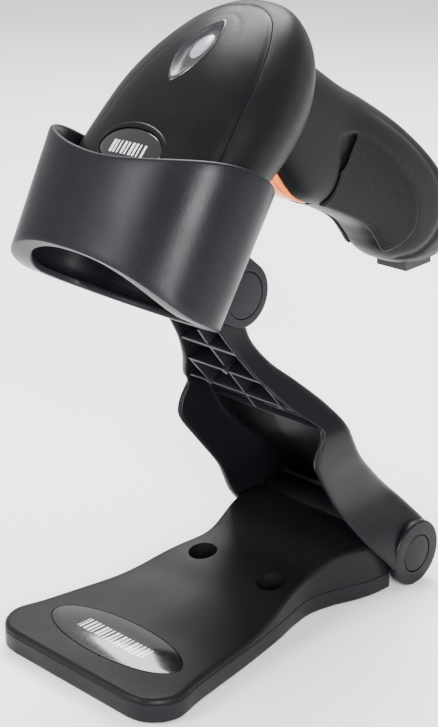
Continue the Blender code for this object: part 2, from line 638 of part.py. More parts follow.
# Side panel of the grip: its back edge from the top down, then its front edge from the bottom up
GRIP_PANEL = [(73, -42), (78, -46.5), (83.3, -55.8), (86.6, -66), (87.7, -77), (87.5, -85.6), (85, -93),
              (80.8, -98.7), (75.5, -101.7), (64, -101), (60, -90), (56.5, -76), (52.5, -66), (56.5, -60.5),
              (66, -51)]


def make_grip():
    """Ribbed rubber panels let into the sides of the handle."""
    middle_u = sum(u for u, _ in GRIP_PANEL) / len(GRIP_PANEL)
    middle_m = sum(m for _, m in GRIP_PANEL) / len(GRIP_PANEL)
    bed_outline = []
    for u, m in GRIP_PANEL:
        out = Vector((u - middle_u, m - middle_m)).normalized() * GAP
        bed_outline.append((u + out.x, m + out.y))
    for side_name, sign in (("left", -1), ("right", 1)):
        low, high = sorted((sign * 7.3, sign * 30))
        grip = add(f"grip_panel_{side_name}", loft(handle_rings(-0.5)), SCANNER, GRIP_LOOK)
        inside = add(f"grip_inside_{side_name}", loft(handle_rings(0.9)), SCANNER)
        shape = add(f"grip_shape_{side_name}", prism("YZ", GRIP_PANEL, low, high), SCANNER)
        combine(grip, "INTERSECT", shape)
        cut(grip, inside)
        low, high = sorted((sign * 7.0, sign * 30))
        bed = add(f"grip_bed_{side_name}", prism("YZ", bed_outline, low, high), SCANNER)
        bed_core = add(f"grip_bed_core_{side_name}", loft(handle_rings(1.2)), SCANNER)
        cut(bed, bed_core)
        cut(bpy.data.objects[f"scanner_body_{side_name}"], bed)


clear_scene()
PARTS = collection("barcode_scanner_on_stand")
CUTTERS = collection("cutters")

BASE_LOOK = material("base_abs", (0.030, 0.030, 0.034), 0.45)
ARM_LOOK = material("arm_abs", (0.028, 0.028, 0.033), 0.42)
HOLDER_LOOK = material("holder_abs", (0.038, 0.037, 0.042), 0.38)
COVER_LOOK = material("scanner_cover_pc_abs", (0.022, 0.023, 0.026), 0.35)
BODY_LOOK = material("scanner_body_pc_abs", (0.020, 0.021, 0.023), 0.45)
GRIP_LOOK = material("grip_elastomer", (0.026, 0.027, 0.029), 0.62)
TRIGGER_LOOK = material("trigger_abs", (0.80, 0.16, 0.03), 0.40)
BADGE_LOOK = material("badge_gloss", (0.010, 0.010, 0.012), 0.12)
BEZEL_LOOK = material("bezel_gloss", (0.015, 0.015, 0.017), 0.20)
LENS_LOOK = material("indicator_diffuser", (0.18, 0.18, 0.20), 0.35)
WINDOW_LOOK = material("exit_window_acrylic", (0.04, 0.01, 0.01), 0.06)
GLASS_LOOK = material("lens_glass", (0.05, 0.06, 0.09), 0.05)
BRACKET_LOOK = material("imager_black", (0.012, 0.012, 0.013), 0.55)
LED_LOOK = material("led_epoxy", (0.75, 0.75, 0.70), 0.20)
AIMER_LOOK = material("aimer_green", (0.05, 0.50, 0.10), 0.20)
PCB_LOOK = material("solder_mask", (0.01, 0.14, 0.05), 0.35)
CHIP_LOOK = material("chip_epoxy", (0.015, 0.015, 0.016), 0.50)
STEEL = material("steel", (0.55, 0.55, 0.56), 0.30, 1.0)
ZINC = material("zinc_screw", (0.62, 0.60, 0.55), 0.35, 1.0)
NYLON = material("nylon", (0.70, 0.69, 0.64), 0.45)
RUBBER = material("nonslip_rubber", (0.02, 0.02, 0.02), 0.85)

STAND = empty("stand_origin", None, (0, -BASE_ORIGIN_Y, 0))
ARM = pivot("lower_hinge_axis", STAND, HINGE1_Y, HINGE1_Z)
HOLDER = pivot("upper_hinge_axis", ARM, HINGE2_Y, HINGE2_Z)
SCANNER = empty("scanner_frame", HOLDER, (0, NOSE_Y - HINGE2_Y, NOSE_Z - HINGE2_Z), SCANNER_TILT)
TRIGGER = empty("trigger_pivot", SCANNER, (0, TRIGGER_U, TRIGGER_M))
SOCKET = empty("socket_frame", SCANNER, (0, 80.0, -120.5), -40)

make_base()
make_arm()
make_hinge_hardware()
make_holder()
make_scanner_shells()
make_trigger()
make_scanner_internals()
make_grip()
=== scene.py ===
import json
import math

import bmesh
import bpy
import numpy as np
from mathutils import Matrix, Vector


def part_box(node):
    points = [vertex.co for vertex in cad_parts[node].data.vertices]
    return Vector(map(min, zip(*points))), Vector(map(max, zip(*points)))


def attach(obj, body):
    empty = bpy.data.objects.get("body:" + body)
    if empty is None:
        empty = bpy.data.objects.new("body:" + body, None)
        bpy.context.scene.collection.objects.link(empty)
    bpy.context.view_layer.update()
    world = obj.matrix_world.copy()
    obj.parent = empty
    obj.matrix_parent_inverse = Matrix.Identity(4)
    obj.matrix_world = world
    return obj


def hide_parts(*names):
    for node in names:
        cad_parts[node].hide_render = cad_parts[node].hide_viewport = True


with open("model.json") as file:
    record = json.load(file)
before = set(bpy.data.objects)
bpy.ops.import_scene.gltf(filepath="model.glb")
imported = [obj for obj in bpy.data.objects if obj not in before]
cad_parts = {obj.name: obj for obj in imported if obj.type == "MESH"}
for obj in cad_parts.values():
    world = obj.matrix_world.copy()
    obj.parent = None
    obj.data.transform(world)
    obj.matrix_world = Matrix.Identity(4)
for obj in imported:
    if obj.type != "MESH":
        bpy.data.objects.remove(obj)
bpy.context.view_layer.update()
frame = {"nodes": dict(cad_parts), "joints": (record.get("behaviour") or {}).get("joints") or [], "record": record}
joints = {joint["name"]: joint for joint in frame["joints"]}
MM = 0.001

# ---------------------------------------------------------------- studio
# A pale seamless counter under soft light: a broad box at the front left, one above and behind,
# and a narrow strip beside the camera whose reflection draws a satin streak down the cup. The
# camera looks down a little on the front corner.

CAMERA_PLACE = (0.3696, -0.3736, 0.2930)
CAMERA_TURN = (69.4, 0.0, 44.6)
CAMERA_LENS = 81.9


def linear(code):
    """Linear RGB of an sRGB hex colour such as "3a3b40"."""
    parts = [int(code[i:i + 2], 16) / 255 for i in (0, 2, 4)]
    return [c / 12.92 if c <= 0.04045 else ((c + 0.055) / 1.055) ** 2.4 for c in parts]


def add_node(tree, kind, links=None, **settings):
    """Adds a node; settings are its properties, links are values or sockets for its inputs."""
    made = tree.nodes.new("ShaderNode" + kind)
    for name, value in settings.items():
        setattr(made, name, value)
    for name, value in (links or {}).items():
        if isinstance(value, bpy.types.NodeSocket):
            tree.links.new(value, made.inputs[name])
        else:
            made.inputs[name].default_value = value
    return made


def blank_material(name):
    """A material with nothing but its output; gives the material and its tree."""
    made = bpy.data.materials.new(name)
    made.use_nodes = True
    made.node_tree.nodes.clear()
    return made, made.node_tree


def finish_material(tree, shader):
    output = tree.nodes.new("ShaderNodeOutputMaterial")
    tree.links.new(shader.outputs[0], output.inputs["Surface"])


def counter_laminate():
    """Matt white laminate: nearly no pattern, a very faint cloudiness."""
    made, tree = blank_material("counter_matt_white_laminate")
    place = add_node(tree, "TexCoord")
    cloud = add_node(tree, "TexNoise", {"Vector": place.outputs["Object"], "Scale": 6.0, "Detail": 2.0})
    tone = add_node(tree, "MapRange", {"Value": cloud.outputs["Fac"], "To Min": 0.94, "To Max": 0.98})
    colour = add_node(tree, "CombineColor", {"Red": tone.outputs[0], "Green": tone.outputs[0],
                                             "Blue": tone.outputs[0]})
    shader = add_node(tree, "BsdfPrincipled", {"Base Color": colour.outputs[0], "Roughness": 0.75})
    finish_material(tree, shader)
    return made


def soft_box(name, place, target, width, height, power):
    light = bpy.data.lights.new(name, "AREA")
    light.shape = "RECTANGLE"
    light.size, light.size_y, light.energy = width, height, power
    lamp = bpy.data.objects.new(name, light)
    bpy.context.scene.collection.objects.link(lamp)
    lamp.location = place
    lamp.rotation_euler = (Vector(target) - Vector(place)).to_track_quat("-Z", "Y").to_euler()


bpy.ops.mesh.primitive_plane_add(size=6.0)
floor = bpy.context.object
floor.name = "counter"
floor.data.materials.append(counter_laminate())

soft_box("key_box", (-0.38, -1.05, 0.72), (0, 0, 0.1), 0.35, 0.6, 16.0)
soft_box("strip_box", (0.95, -0.62, 0.45), (0, 0, 0.15), 0.12, 0.6, 30.0)
soft_box("back_box", (-0.4, 0.5, 1.0), (0, 0, 0.1), 0.7, 0.7, 30.0)

world = bpy.data.worlds.new("studio")
bpy.context.scene.world = world
world.use_nodes = True
world.node_tree.nodes["Background"].inputs["Color"].default_value = (1.0, 1.0, 1.0, 1.0)
world.node_tree.nodes["Background"].inputs["Strength"].default_value = 0.9

camera = bpy.data.cameras.new("camera")
camera.lens = CAMERA_LENS
camera.sensor_width = 36.0
camera.clip_start = 0.01
viewer = bpy.data.objects.new("camera", camera)
bpy.context.scene.collection.objects.link(viewer)
viewer.location = CAMERA_PLACE
viewer.rotation_euler = [math.radians(angle) for angle in CAMERA_TURN]
bpy.context.scene.camera = viewer

# ---------------------------------------------------------------- base shells
# The weighted foot is two ABS mouldings that meet in a fine seam all round: a shallow tray below
# and a cover above whose top rises in a ramp to the hinge barrel. Both are injection moulded with
# a fine spark-eroded grain and softly rounded edges.

BASE_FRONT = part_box("base_tray")[0].y / MM
# Right-hand edge of the plan, from the front corner's start to the back: half width, distance back
BASE_EDGE = [(28.4, 0.0), (33.6, 1.0), (37.9, 4.1), (40.6, 8.6), (41.1, 13.6), (38.6, 24.0), (34.8, 48.0),
             (31.0, 68.0), (27.3, 83.0), (26.2, 91.5), (27.8, 101.0), (31.2, 111.0), (32.9, 119.0),
             (33.2, 127.0)]
# Height of the top along the base
BASE_RAMP = [(-10, 9.3), (30, 9.3), (50, 9.3), (62, 10.8), (77, 14.4), (92, 16.6), (104, 20.2), (114, 21.2),
             (128, 21.2), (140, 21.2)]
EDGE_ROUND = 1.7
WELL_X, WELL_Y, WELL_R = 17.0, 80.0, 5.3


def smooth_line(points, count):
    """Catmull-Rom curve through points of any dimension, sampled evenly between its ends."""
    knots = np.array(points, float)
    padded = np.vstack([2 * knots[0] - knots[1], knots, 2 * knots[-1] - knots[-2]])
    place = np.linspace(0, len(knots) - 1, count)
    span = np.minimum(place.astype(int), len(knots) - 2)
    t = (place - span)[:, None]
    a, b, c, d = (padded[span + k] for k in range(4))
    return 0.5 * (2 * b + (c - a) * t + (2 * a - 5 * b + 4 * c - d) * t ** 2
                  + (3 * b - a - 3 * c + d) * t ** 3)


def steady_line(points, count):
    """The same curve, sampled evenly along its length."""
    fine = smooth_line(points, count * 8)
    run = np.concatenate([[0], np.cumsum(np.linalg.norm(np.diff(fine, axis=0), axis=1))])
    at = np.linspace(0, run[-1], count)
    return np.column_stack([np.interp(at, run, fine[:, k]) for k in range(fine.shape[1])])


def offset_loop(loop, distance):
    """A closed counter-clockwise loop in its plane, moved inwards by distance."""
    along = np.roll(loop, -1, axis=0) - np.roll(loop, 1, axis=0)
    along /= np.linalg.norm(along, axis=1)[:, None]
    return loop + np.column_stack([-along[:, 1], along[:, 0]]) * distance


def skin(rows, around=True, ends=True):
    """A mesh over rows of points; around joins each row's ends, ends closes the first and last."""
    bm = bmesh.new()
    net = [[bm.verts.new(point) for point in row] for row in rows]
    for row, after in zip(net, net[1:]):
        for i in range(len(row) if around else len(row) - 1):
            j = (i + 1) % len(row)
            bm.faces.new((row[i], row[j], after[j], after[i]))
    if ends:
        bm.faces.new(reversed(net[0]))
        bm.faces.new(net[-1])
    return bm


SHARP_ANGLE = 32


def place_piece(name, bm, body, look, replaced=(), sharp=SHARP_ANGLE):
    """Makes an object of a bmesh whose points are in millimetres from the base's front edge."""
    bmesh.ops.recalc_face_normals(bm, faces=bm.faces)
    if bm.calc_volume(signed=True) < 0:
        bmesh.ops.reverse_faces(bm, faces=bm.faces)
    bmesh.ops.translate(bm, verts=bm.verts, vec=(0, BASE_FRONT, 0))
    bmesh.ops.scale(bm, verts=bm.verts, vec=(MM, MM, MM))
    mesh = bpy.data.meshes.new(name)
    bm.to_mesh(mesh)
    bm.free()
    mesh.shade_smooth()
    mesh.set_sharp_from_angle(angle=math.radians(sharp))
    piece = bpy.data.objects.new(name, mesh)
    bpy.context.scene.collection.objects.link(piece)
    if look is None:
        return piece
    mesh.materials.append(look)
    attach(piece, body)
    if replaced:
        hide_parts(*replaced)
    return piece


def tool(bm):
    """A shape that only joins or cuts another one."""
    return place_piece("tool", bm, "", None)


def carve(piece, operation, *tools):
    """Joins or cuts a piece with tool objects, which are then removed."""
    for cutter in tools:
        step = piece.modifiers.new(operation.lower(), "BOOLEAN")
        step.operation = operation
        step.solver = "MANIFOLD"
        step.object = cutter
    graph = bpy.context.evaluated_depsgraph_get()
    mesh = bpy.data.meshes.new_from_object(piece.evaluated_get(graph))
    piece.modifiers.clear()
    piece.data = mesh
    mesh.shade_smooth()
    mesh.set_sharp_from_angle(angle=math.radians(SHARP_ANGLE))
    for cutter in tools:
        bpy.data.objects.remove(cutter)
    return piece


def cylinder(start, end, radius, sides=64, rounding=0.0):
    """A turned piece between two points, its end edges rounded by an arc."""
    start, end = Vector(start), Vector(end)
    axis = (end - start).normalized()
    length = (end - start).length
    side = axis.orthogonal().normalized()
    other = axis.cross(side)
    profile = [(0.0, radius)]
    if rounding:
        steps = [math.pi / 2 * k / 5 for k in range(6)]
        profile = [(rounding * (1 - math.sin(a)), radius - rounding * (1 - math.cos(a)))
                   for a in reversed(steps)]
    profile = profile + [(length - along, out) for along, out in reversed(profile)]
    rows = []
    for along, out in profile:
        rows.append([start + axis * along + (side * math.cos(a) + other * math.sin(a)) * out
                     for a in np.linspace(0, 2 * math.pi, sides, endpoint=False)])
    return skin(rows)


def moulded_plastic(name, body_colour, edge_highlight_and_speck_colour, roughness, grain_mm, grain_depth, sheen_step=0.08):
    """ABS from a spark-eroded mould: a fine satin grain that breaks up reflections, slightly
    uneven in gloss where hands and shipping have polished it. Its raised edges are painted
    paler as a painted highlight, and random grain specks are mixed into the same paler colour.
    The real grain is near 0.05 mm; it is drawn as coarse as it needs to show. Its pits swallow
    most of the surface reflection, hence the low specular level."""
    made, tree = blank_material(name)
    place = add_node(tree, "TexCoord")
    grain = add_node(tree, "TexNoise", {"Vector": place.outputs["Object"], "Scale": 1 / (grain_mm * MM),
                                        "Detail": 3.0, "Roughness": 0.6})
    patches = add_node(tree, "TexNoise", {"Vector": place.outputs["Object"], "Scale": 45.0, "Detail": 4.0})
    gloss = add_node(tree, "MapRange", {"Value": patches.outputs["Fac"], "From Min": 0.3, "From Max": 0.7,
                                        "To Min": roughness - sheen_step, "To Max": roughness + sheen_step})
    # Painted highlight: convex edges, picked out by pointiness, are mixed towards the paler colour.
    shape = add_node(tree, "NewGeometry")
    edge = add_node(tree, "MapRange", {"Value": shape.outputs["Pointiness"], "From Min": 0.52,
                                       "From Max": 0.62, "To Min": 0.0, "To Max": 0.55})
    speck = add_node(tree, "MapRange", {"Value": grain.outputs["Fac"], "From Min": 0.35, "From Max": 0.65,
                                        "To Min": 0.0, "To Max": 0.22})
    # The paler mix is the painted edge highlight plus random grain specks.
    painted_edge_highlight_and_speck = add_node(tree, "Math", {0: edge.outputs[0], 1: speck.outputs[0]}, operation="ADD")
    colour = add_node(tree, "Mix", {"Factor": painted_edge_highlight_and_speck.outputs[0], 6: (*linear(body_colour), 1),
                                    7: (*linear(edge_highlight_and_speck_colour), 1)}, data_type="RGBA")
    bump = add_node(tree, "Bump", {"Height": grain.outputs["Fac"], "Strength": grain_depth,
                                   "Distance": grain_mm * MM * 0.5})
    shader = add_node(tree, "BsdfPrincipled", {"Base Color": colour.outputs[2], "Roughness": gloss.outputs[0],
                                               "Normal": bump.outputs[0], "IOR": 1.53,
                                               "Specular IOR Level": 0.11})
    finish_material(tree, shader)
    return made


STAND_ABS = moulded_plastic("base_spark_grained_black_abs", "0b0b0d", "222226", 0.42, 0.45, 0.35)


def base_top(y):
    line = smooth_line(BASE_RAMP, 200)
    return float(np.interp(y, line[:, 0], line[:, 1]))


def base_plate():
    """The cover's top as rows across, its rounded edge and its sides down to the seam."""
    right = steady_line(BASE_EDGE, 90)
    right[-1, 1] = BASE_EDGE[-1][1]
    columns = 40
    front = [(x, right[0, 1]) for x in np.linspace(-right[0, 0], right[0, 0], columns + 1)[1:-1]]
    back = [(x, right[-1, 1]) for x in np.linspace(right[-1, 0], -right[-1, 0], columns + 1)[1:-1]]
    left = right[::-1] * [-1, 1]
    loop = np.array(front + list(map(tuple, right)) + back + list(map(tuple, left)))
    rings = []
    for k in range(7):
        angle = math.pi / 2 * k / 6
        ring = offset_loop(loop, EDGE_ROUND * (1 - math.sin(angle)))
        rings.append([(x, y, base_top(y) - EDGE_ROUND * (1 - math.cos(angle))) for x, y in ring])
    for drop, inset in ((0.7, 0.0), (0.35, 0.0), (0.15, 0.25)):
        rings.append([(x, y, SEAM_TOP + drop) for x, y in offset_loop(loop, inset)])
    bm = bmesh.new()
    net = [[bm.verts.new(point) for point in ring] for ring in rings]
    for row, after in zip(net, net[1:]):
        for i in range(len(row)):
            j = (i + 1) % len(row)
            bm.faces.new((row[i], row[j], after[j], after[i]))
    bm.faces.new(net[-1])
    rim = net[0]
    first, count = len(front), len(right)
    lines = []
    for i in range(count):
        a = rim[first + i]
        b = rim[(first + count + len(back) + count - 1 - i) % len(rim)]
        if i == 0:
            inner = rim[:first][::-1]
        elif i == count - 1:
            inner = rim[first + count:first + count + len(back)]
        else:
            inner = []
            for k in range(1, columns):
                share = k / columns
                y = a.co.y + (b.co.y - a.co.y) * share
                inner.append(bm.verts.new((a.co.x + (b.co.x - a.co.x) * share, y, base_top(y))))
        lines.append([a] + list(inner) + [b])
    for row, after in zip(lines, lines[1:]):
        for k in range(len(row) - 1):
            bm.faces.new((row[k], row[k + 1], after[k + 1], after[k]))
    return bm, loop


SEAM_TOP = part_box("base_tray")[1].z / MM
bm, base_loop = base_plate()
cover = place_piece("base_cover_shell", bm, "stand_base", STAND_ABS, ["base_cover"])
cups, wells = [], []
for side in (-1, 1):
    x = side * WELL_X
    cups.append(tool(cylinder((x, WELL_Y, 2.8), (x, WELL_Y, 10), WELL_R + 1.5)))
    wells.append(tool(cylinder((x, WELL_Y, 4.8), (x, WELL_Y, 30), WELL_R)))
    wells.append(tool(cylinder((x, WELL_Y, 0), (x, WELL_Y, 9), 2.3, 32)))
carve(cover, "UNION", *cups)
badge_low, badge_high = (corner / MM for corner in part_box("base_badge"))
badge_centre = (badge_low.y + badge_high.y) / 2 - BASE_FRONT
badge_half = (badge_high.x, (badge_high.y - badge_low.y) / 2)
bed_rows = [[(math.cos(a) * (badge_half[0] + 0.35), badge_centre + math.sin(a) * (badge_half[1] + 0.35), z)
             for a in np.linspace(0, 2 * math.pi, 96, endpoint=False)] for z in (badge_low.z - 0.3, 14.0)]
carve(cover, "DIFFERENCE", tool(skin(bed_rows)), *wells)

tray_rings = []
for z, inset in ((1.5, 3.5), (0.5, 3.5), (0.5, 1.0), (0.8, 0.3), (1.5, 0.0), (SEAM_TOP - 0.3, 0.0),
                 (SEAM_TOP, 0.25), (SEAM_TOP, 2.5), (2.5, 2.5)):
    tray_rings.append([(x, y, z) for x, y in offset_loop(base_loop, inset)])
tray = place_piece("base_tray_shell", skin(tray_rings), "stand_base", STAND_ABS, ["base_tray"])
sinks = []
for end in ("front", "rear"):
    for hand in ("left", "right"):
        low, high = (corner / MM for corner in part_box(f"base_screw_{end}_{hand}"))
        x, y = (low.x + high.x) / 2, (low.y + high.y) / 2 - BASE_FRONT
        sinks.append(tool(cylinder((x, y, -1), (x, y, 3.4), 2.9, 40)))
carve(tray, "DIFFERENCE", *sinks)

# ---------------------------------------------------------------- base fittings
# Under the cover's end a round barrel takes the hinge pin. The name plate is an oval of glossy
# acrylic let flush into the cover, printed from behind with a row of pale bars.

HINGE_1 = Vector(joints["lower_hinge"]["pos_m"]) / MM - Vector((0, BASE_FRONT, 0))
BARREL_HALF, BARREL_R = 32.8, 9.6

barrel = cylinder(HINGE_1 - Vector((BARREL_HALF, 0, 0)), HINGE_1 + Vector((BARREL_HALF, 0, 0)), BARREL_R,
                  96, 0.6)
place_piece("base_hinge_barrel", barrel, "stand_base", STAND_ABS)


def printed_acrylic(name, centre, along, up, bars, height, width):
    """Black back-printed acrylic: a deep clear gloss over black, with pale upright bars whose
    widths follow a fixed rule, so that they stand for a code and spell nothing."""
    made, tree = blank_material(name)
    place = add_node(tree, "TexCoord")
    shift = add_node(tree, "VectorMath", {0: place.outputs["Object"], 1: centre}, operation="SUBTRACT")
    across = add_node(tree, "VectorMath", {0: shift.outputs[0], 1: along}, operation="DOT_PRODUCT")
    upward = add_node(tree, "VectorMath", {0: shift.outputs[0], 1: up}, operation="DOT_PRODUCT")
    wave = add_node(tree, "Math", {0: across.outputs["Value"], 1: bars / width}, operation="MULTIPLY")
    slow = add_node(tree, "Math", {0: wave.outputs[0], 1: 0.618}, operation="MULTIPLY")
    slow_part = add_node(tree, "Math", {0: slow.outputs[0]}, operation="FRACT")
    limit = add_node(tree, "MapRange", {"Value": slow_part.outputs[0], "To Min": 0.3, "To Max": 0.7})
    part = add_node(tree, "Math", {0: wave.outputs[0]}, operation="FRACT")
    bar = add_node(tree, "Math", {0: part.outputs[0], 1: limit.outputs[0]}, operation="LESS_THAN")
    side_way = add_node(tree, "Math", {0: across.outputs["Value"]}, operation="ABSOLUTE")
    inside_x = add_node(tree, "Math", {0: side_way.outputs[0], 1: width / 2}, operation="LESS_THAN")
    rise = add_node(tree, "Math", {0: upward.outputs["Value"]}, operation="ABSOLUTE")
    inside_y = add_node(tree, "Math", {0: rise.outputs[0], 1: height / 2}, operation="LESS_THAN")
    both = add_node(tree, "Math", {0: inside_x.outputs[0], 1: inside_y.outputs[0]}, operation="MULTIPLY")
    print_mask = add_node(tree, "Math", {0: both.outputs[0], 1: bar.outputs[0]}, operation="MULTIPLY")
    dust = add_node(tree, "TexNoise", {"Vector": place.outputs["Object"], "Scale": 900.0, "Detail": 2.0})
    rough = add_node(tree, "MapRange", {"Value": dust.outputs["Fac"], "To Min": 0.10, "To Max": 0.26})
    colour = add_node(tree, "Mix", {"Factor": print_mask.outputs[0], 6: (*linear("131315"), 1),
                                    7: (*linear("d9dade"), 1)}, data_type="RGBA")
    shader = add_node(tree, "BsdfPrincipled", {"Base Color": colour.outputs[2], "Roughness": rough.outputs[0],
                                               "IOR": 1.49, "Coat Weight": 0.4, "Coat Roughness": 0.08})
    finish_material(tree, shader)
    return made


def oval_plate(centre_y, half_x, half_y, low, high, rounding, sides=96):
    """A flat oval plate with a rounded upper edge."""
    rows = []
    turns = np.linspace(0, 2 * math.pi, sides, endpoint=False)
    for inset, z in ((0.0, low), (0.0, high - rounding), (rounding * 0.3, high - rounding * 0.3),
                     (rounding, high)):
        rows.append([(math.cos(a) * (half_x - inset), centre_y + math.sin(a) * (half_y - inset), z)
                     for a in turns])
    return skin(rows)


base_print = printed_acrylic("base_plate_black_acrylic", (0.0, badge_centre * MM + BASE_FRONT * MM, 0.0),
                             (1, 0, 0), (0, 1, 0), 17, 0.0062, 0.032)
plate = oval_plate(badge_centre, badge_half[0], badge_half[1], badge_low.z, badge_high.z + 0.1, 0.25)
place_piece("base_name_plate", plate, "stand_base", base_print, ["base_badge"])

# ---------------------------------------------------------------- arm
# One deep U-shaped ABS moulding, open to the front and waisted at the back, with webs near its top
# that tie the two flanges together. Its outer corners are well rounded, its cheeks end in discs
# on the hinge barrel, and a knuckle at the top carries the holder.

ARM_ABS = moulded_plastic("arm_spark_grained_black_abs", "09090c", "232328", 0.38, 0.45, 0.35)
# Open front edge of the flange and back of the web, from the top down: distance back, height
ARM_FRONT = [(57.4, 114.6), (60.4, 110.2), (65.1, 103.3), (72.1, 92.7), (79.5, 83.0), (86.6, 76.4),
             (87.6, 73.0), (84.6, 67.0), (84.3, 62.0), (90.3, 53.0), (99.7, 40.5), (111.5, 24.0),
             (124.2, 10.4)]
ARM_BACK = [(71.6, 117.0), (72.3, 112.0), (74.3, 106.0), (80.6, 97.4), (88.6, 89.8), (96.4, 81.2),
            (101.6, 73.0), (104.6, 67.0), (108.8, 60.3), (115.6, 53.2), (124.6, 44.6), (135.8, 33.8),
            (145.4, 23.0)]
# Half width of the arm at each height
ARM_WIDTH = [(0, 38.1), (13, 38.0), (23, 36.0), (33, 32.4), (41, 30.6), (53, 32.4), (62, 34.2), (73, 34.2),
             (80, 29.6), (86, 24.8), (92.7, 19.6), (98, 16.8), (104, 14.6), (112, 13.2), (126, 12.6)]
ARM_WALL, ARM_ROUND = 2.4, 3.4
CHEEK_IN, CHEEK_OUT, HUB_R = 34.3, 38.1, 12.6


def arm_half_width(z):
    line = smooth_line(ARM_WIDTH, 240)
    return float(np.interp(z, line[:, 0], line[:, 1]))


def arm_section(front, back, web):
    """One closed U section as points; its front lips and outer back corners are rounded."""
    depth = float(np.linalg.norm(back - front))
    way = (back - front) / depth
    lip = ARM_WALL / 2
    turn = [math.pi / 2 * k / 6 for k in range(7)]
    outer = [(0.0, lip + (depth - ARM_ROUND - lip) * k / 8) for k in range(8)]
    outer += [(ARM_ROUND * (1 - math.cos(a)), depth - ARM_ROUND * (1 - math.sin(a))) for a in turn]
    hollow = ARM_ROUND - 1.4
    inner = [(ARM_WALL + hollow * (1 - math.cos(a)), depth - web - hollow * (1 - math.sin(a)))
             for a in reversed(turn)]
    inner += [(ARM_WALL, lip + (depth - web - hollow - lip) * k / 8) for k in range(7, -1, -1)]
    edge = [(lip + lip * math.cos(a), lip - lip * math.sin(a)) for a in np.linspace(0, math.pi, 9)[1:-1]]
    right = []
    for inset, along in outer:
        place = front + way * along
        right.append((arm_half_width(place[1]) - inset, place[0], place[1]))
    web_back = [(right[-1][0] * (1 - k / 10), right[-1][1], right[-1][2]) for k in range(1, 10)]
    inside = []
    for inset, along in inner:
        place = front + way * along
        inside.append((arm_half_width(place[1]) - inset, place[0], place[1]))
    web_front = [(inside[0][0] * (1 - k / 10), inside[0][1], inside[0][2]) for k in range(1, 10)]
    tip = []
    for inset, along in edge:
        place = front + way * along
        tip.append((arm_half_width(place[1]) - inset, place[0], place[1]))

    def mirror(points):
        return [(-x, y, z) for x, y, z in reversed(points)]

    middle_back = [(0.0, right[-1][1], right[-1][2])]
    middle_front = [(0.0, inside[0][1], inside[0][2])]
    return (right + web_back + middle_back + mirror(web_back) + mirror(right) + mirror(tip)
            + mirror(inside) + mirror(web_front) + middle_front + web_front[::-1] + inside + tip)


stations = 110
arm_fronts, arm_backs = steady_line(ARM_FRONT, stations), smooth_line(ARM_BACK, stations)
arm_rows = [arm_section(f, b, 2.5) for f, b in zip(arm_fronts, arm_backs)]
place_piece("arm_channel", skin(arm_rows), "arm", ARM_ABS, ["arm_shell"])

# ---------------------------------------------------------------- arm webs
# Inside the top of the channel thin webs tie the flanges together: three across, one down the
# middle and one on each side, with small round bosses where the ejector pins pushed. They are
# moulded in one with the arm, so they share its finish.

WEB_THICK = 1.25
CROSS_WEBS = [(65.8, 102.6), (74.2, 91.6), (83.9, 80.4)]
WEB_RUN = Vector((math.cos(math.radians(37)), math.sin(math.radians(37))))


def web_block(corners, low, high):
    """A flat web: its side view's corners, made thick along X, with lightly rounded edges."""
    rows = [[(x, y, z) for y, z in corners] for x in (low, high)]
    piece = skin(rows)
    bmesh.ops.bevel(piece, geom=piece.edges[:], offset=0.3, segments=2, affect="EDGES", profile=0.6)
    return piece


def strip_corners(start, end, thickness):
    """Side view of a strip between two points of the YZ plane."""
    start, end = Vector(start), Vector(end)
    way = (end - start).normalized()
    across = Vector((-way.y, way.x)) * thickness / 2
    return [tuple(start - across), tuple(end - across), tuple(end + across), tuple(start + across)]


def arm_room():
    """The inside of the arm's channel and a little of its walls, to trim the webs with."""
    rows = []
    for front, back in zip(arm_fronts, arm_backs):
        way = (back - front) / np.linalg.norm(back - front)
        start, end = front + way * 0.5, back - way * 1.2
        right = [start + (end - way * 2.2 - start) * share for share in np.linspace(0, 1, 7)]
        right = [(arm_half_width(z) - 1.7, y, z) for y, z in right] + [(arm_half_width(end[1]) - 4.2, *end)]
        rows.append(right + [(-x, y, z) for x, y, z in reversed(right)])
    return tool(skin(rows))


def place_web(name, bm):
    """Places a web and trims it to the channel."""
    web = place_piece(name, bm, "arm", ARM_ABS)
    carve(web, "INTERSECT", arm_room())


for number, (y, z) in enumerate(CROSS_WEBS):
    end = Vector((y, z)) + WEB_RUN * 26
    place_web(f"arm_cross_web_{number}", web_block(strip_corners((y, z), end, WEB_THICK), -31, 31))
spine = [(61.0, 109.6), (89.6, 73.6), (112.0, 78.0), (80.0, 116.0)]
place_web("arm_spine_web", web_block(spine, -WEB_THICK / 2, WEB_THICK / 2))
side_web = [(74.2, 91.6), (83.9, 80.4), (104.6, 95.6), (90.0, 106.0)]
for side, hand in ((-1, "left"), (1, "right")):
    low, high = sorted((side * 16.6, side * (16.6 + WEB_THICK)))
    place_web(f"arm_side_web_{hand}", web_block(side_web, low, high))
for number, (x, y, z) in enumerate(((0, 74.2, 91.6), (17.4, 83.9, 80.4), (-17.4, 83.9, 80.4))):
    start = Vector((x, y, z)) - Vector((0, *WEB_RUN)) * 0.35
    boss = cylinder(start, start + Vector((0, *WEB_RUN)) * 9, 1.5, 24, 0.3)
    place_piece(f"arm_web_boss_{number}", boss, "arm", ARM_ABS)
for number in range(4):
    z = 79.0 - number * 3.6
    y = float(np.interp(z, arm_backs[::-1, 1], arm_backs[::-1, 0])) - 4.4
    place_web(f"arm_back_ledge_{number}",
              web_block(strip_corners((y, z), Vector((y, z)) + WEB_RUN * 9.0, 0.8), -30, 30))

# ---------------------------------------------------------------- hinges
# Both hinges are steel pins clamped through friction washers. Round cheeks of the arm close over
# the base's barrel, and round ears of the holder over the arm's knuckle; a thin pressed disc
# covers each pin end. The washers are natural nylon, turned from rod.

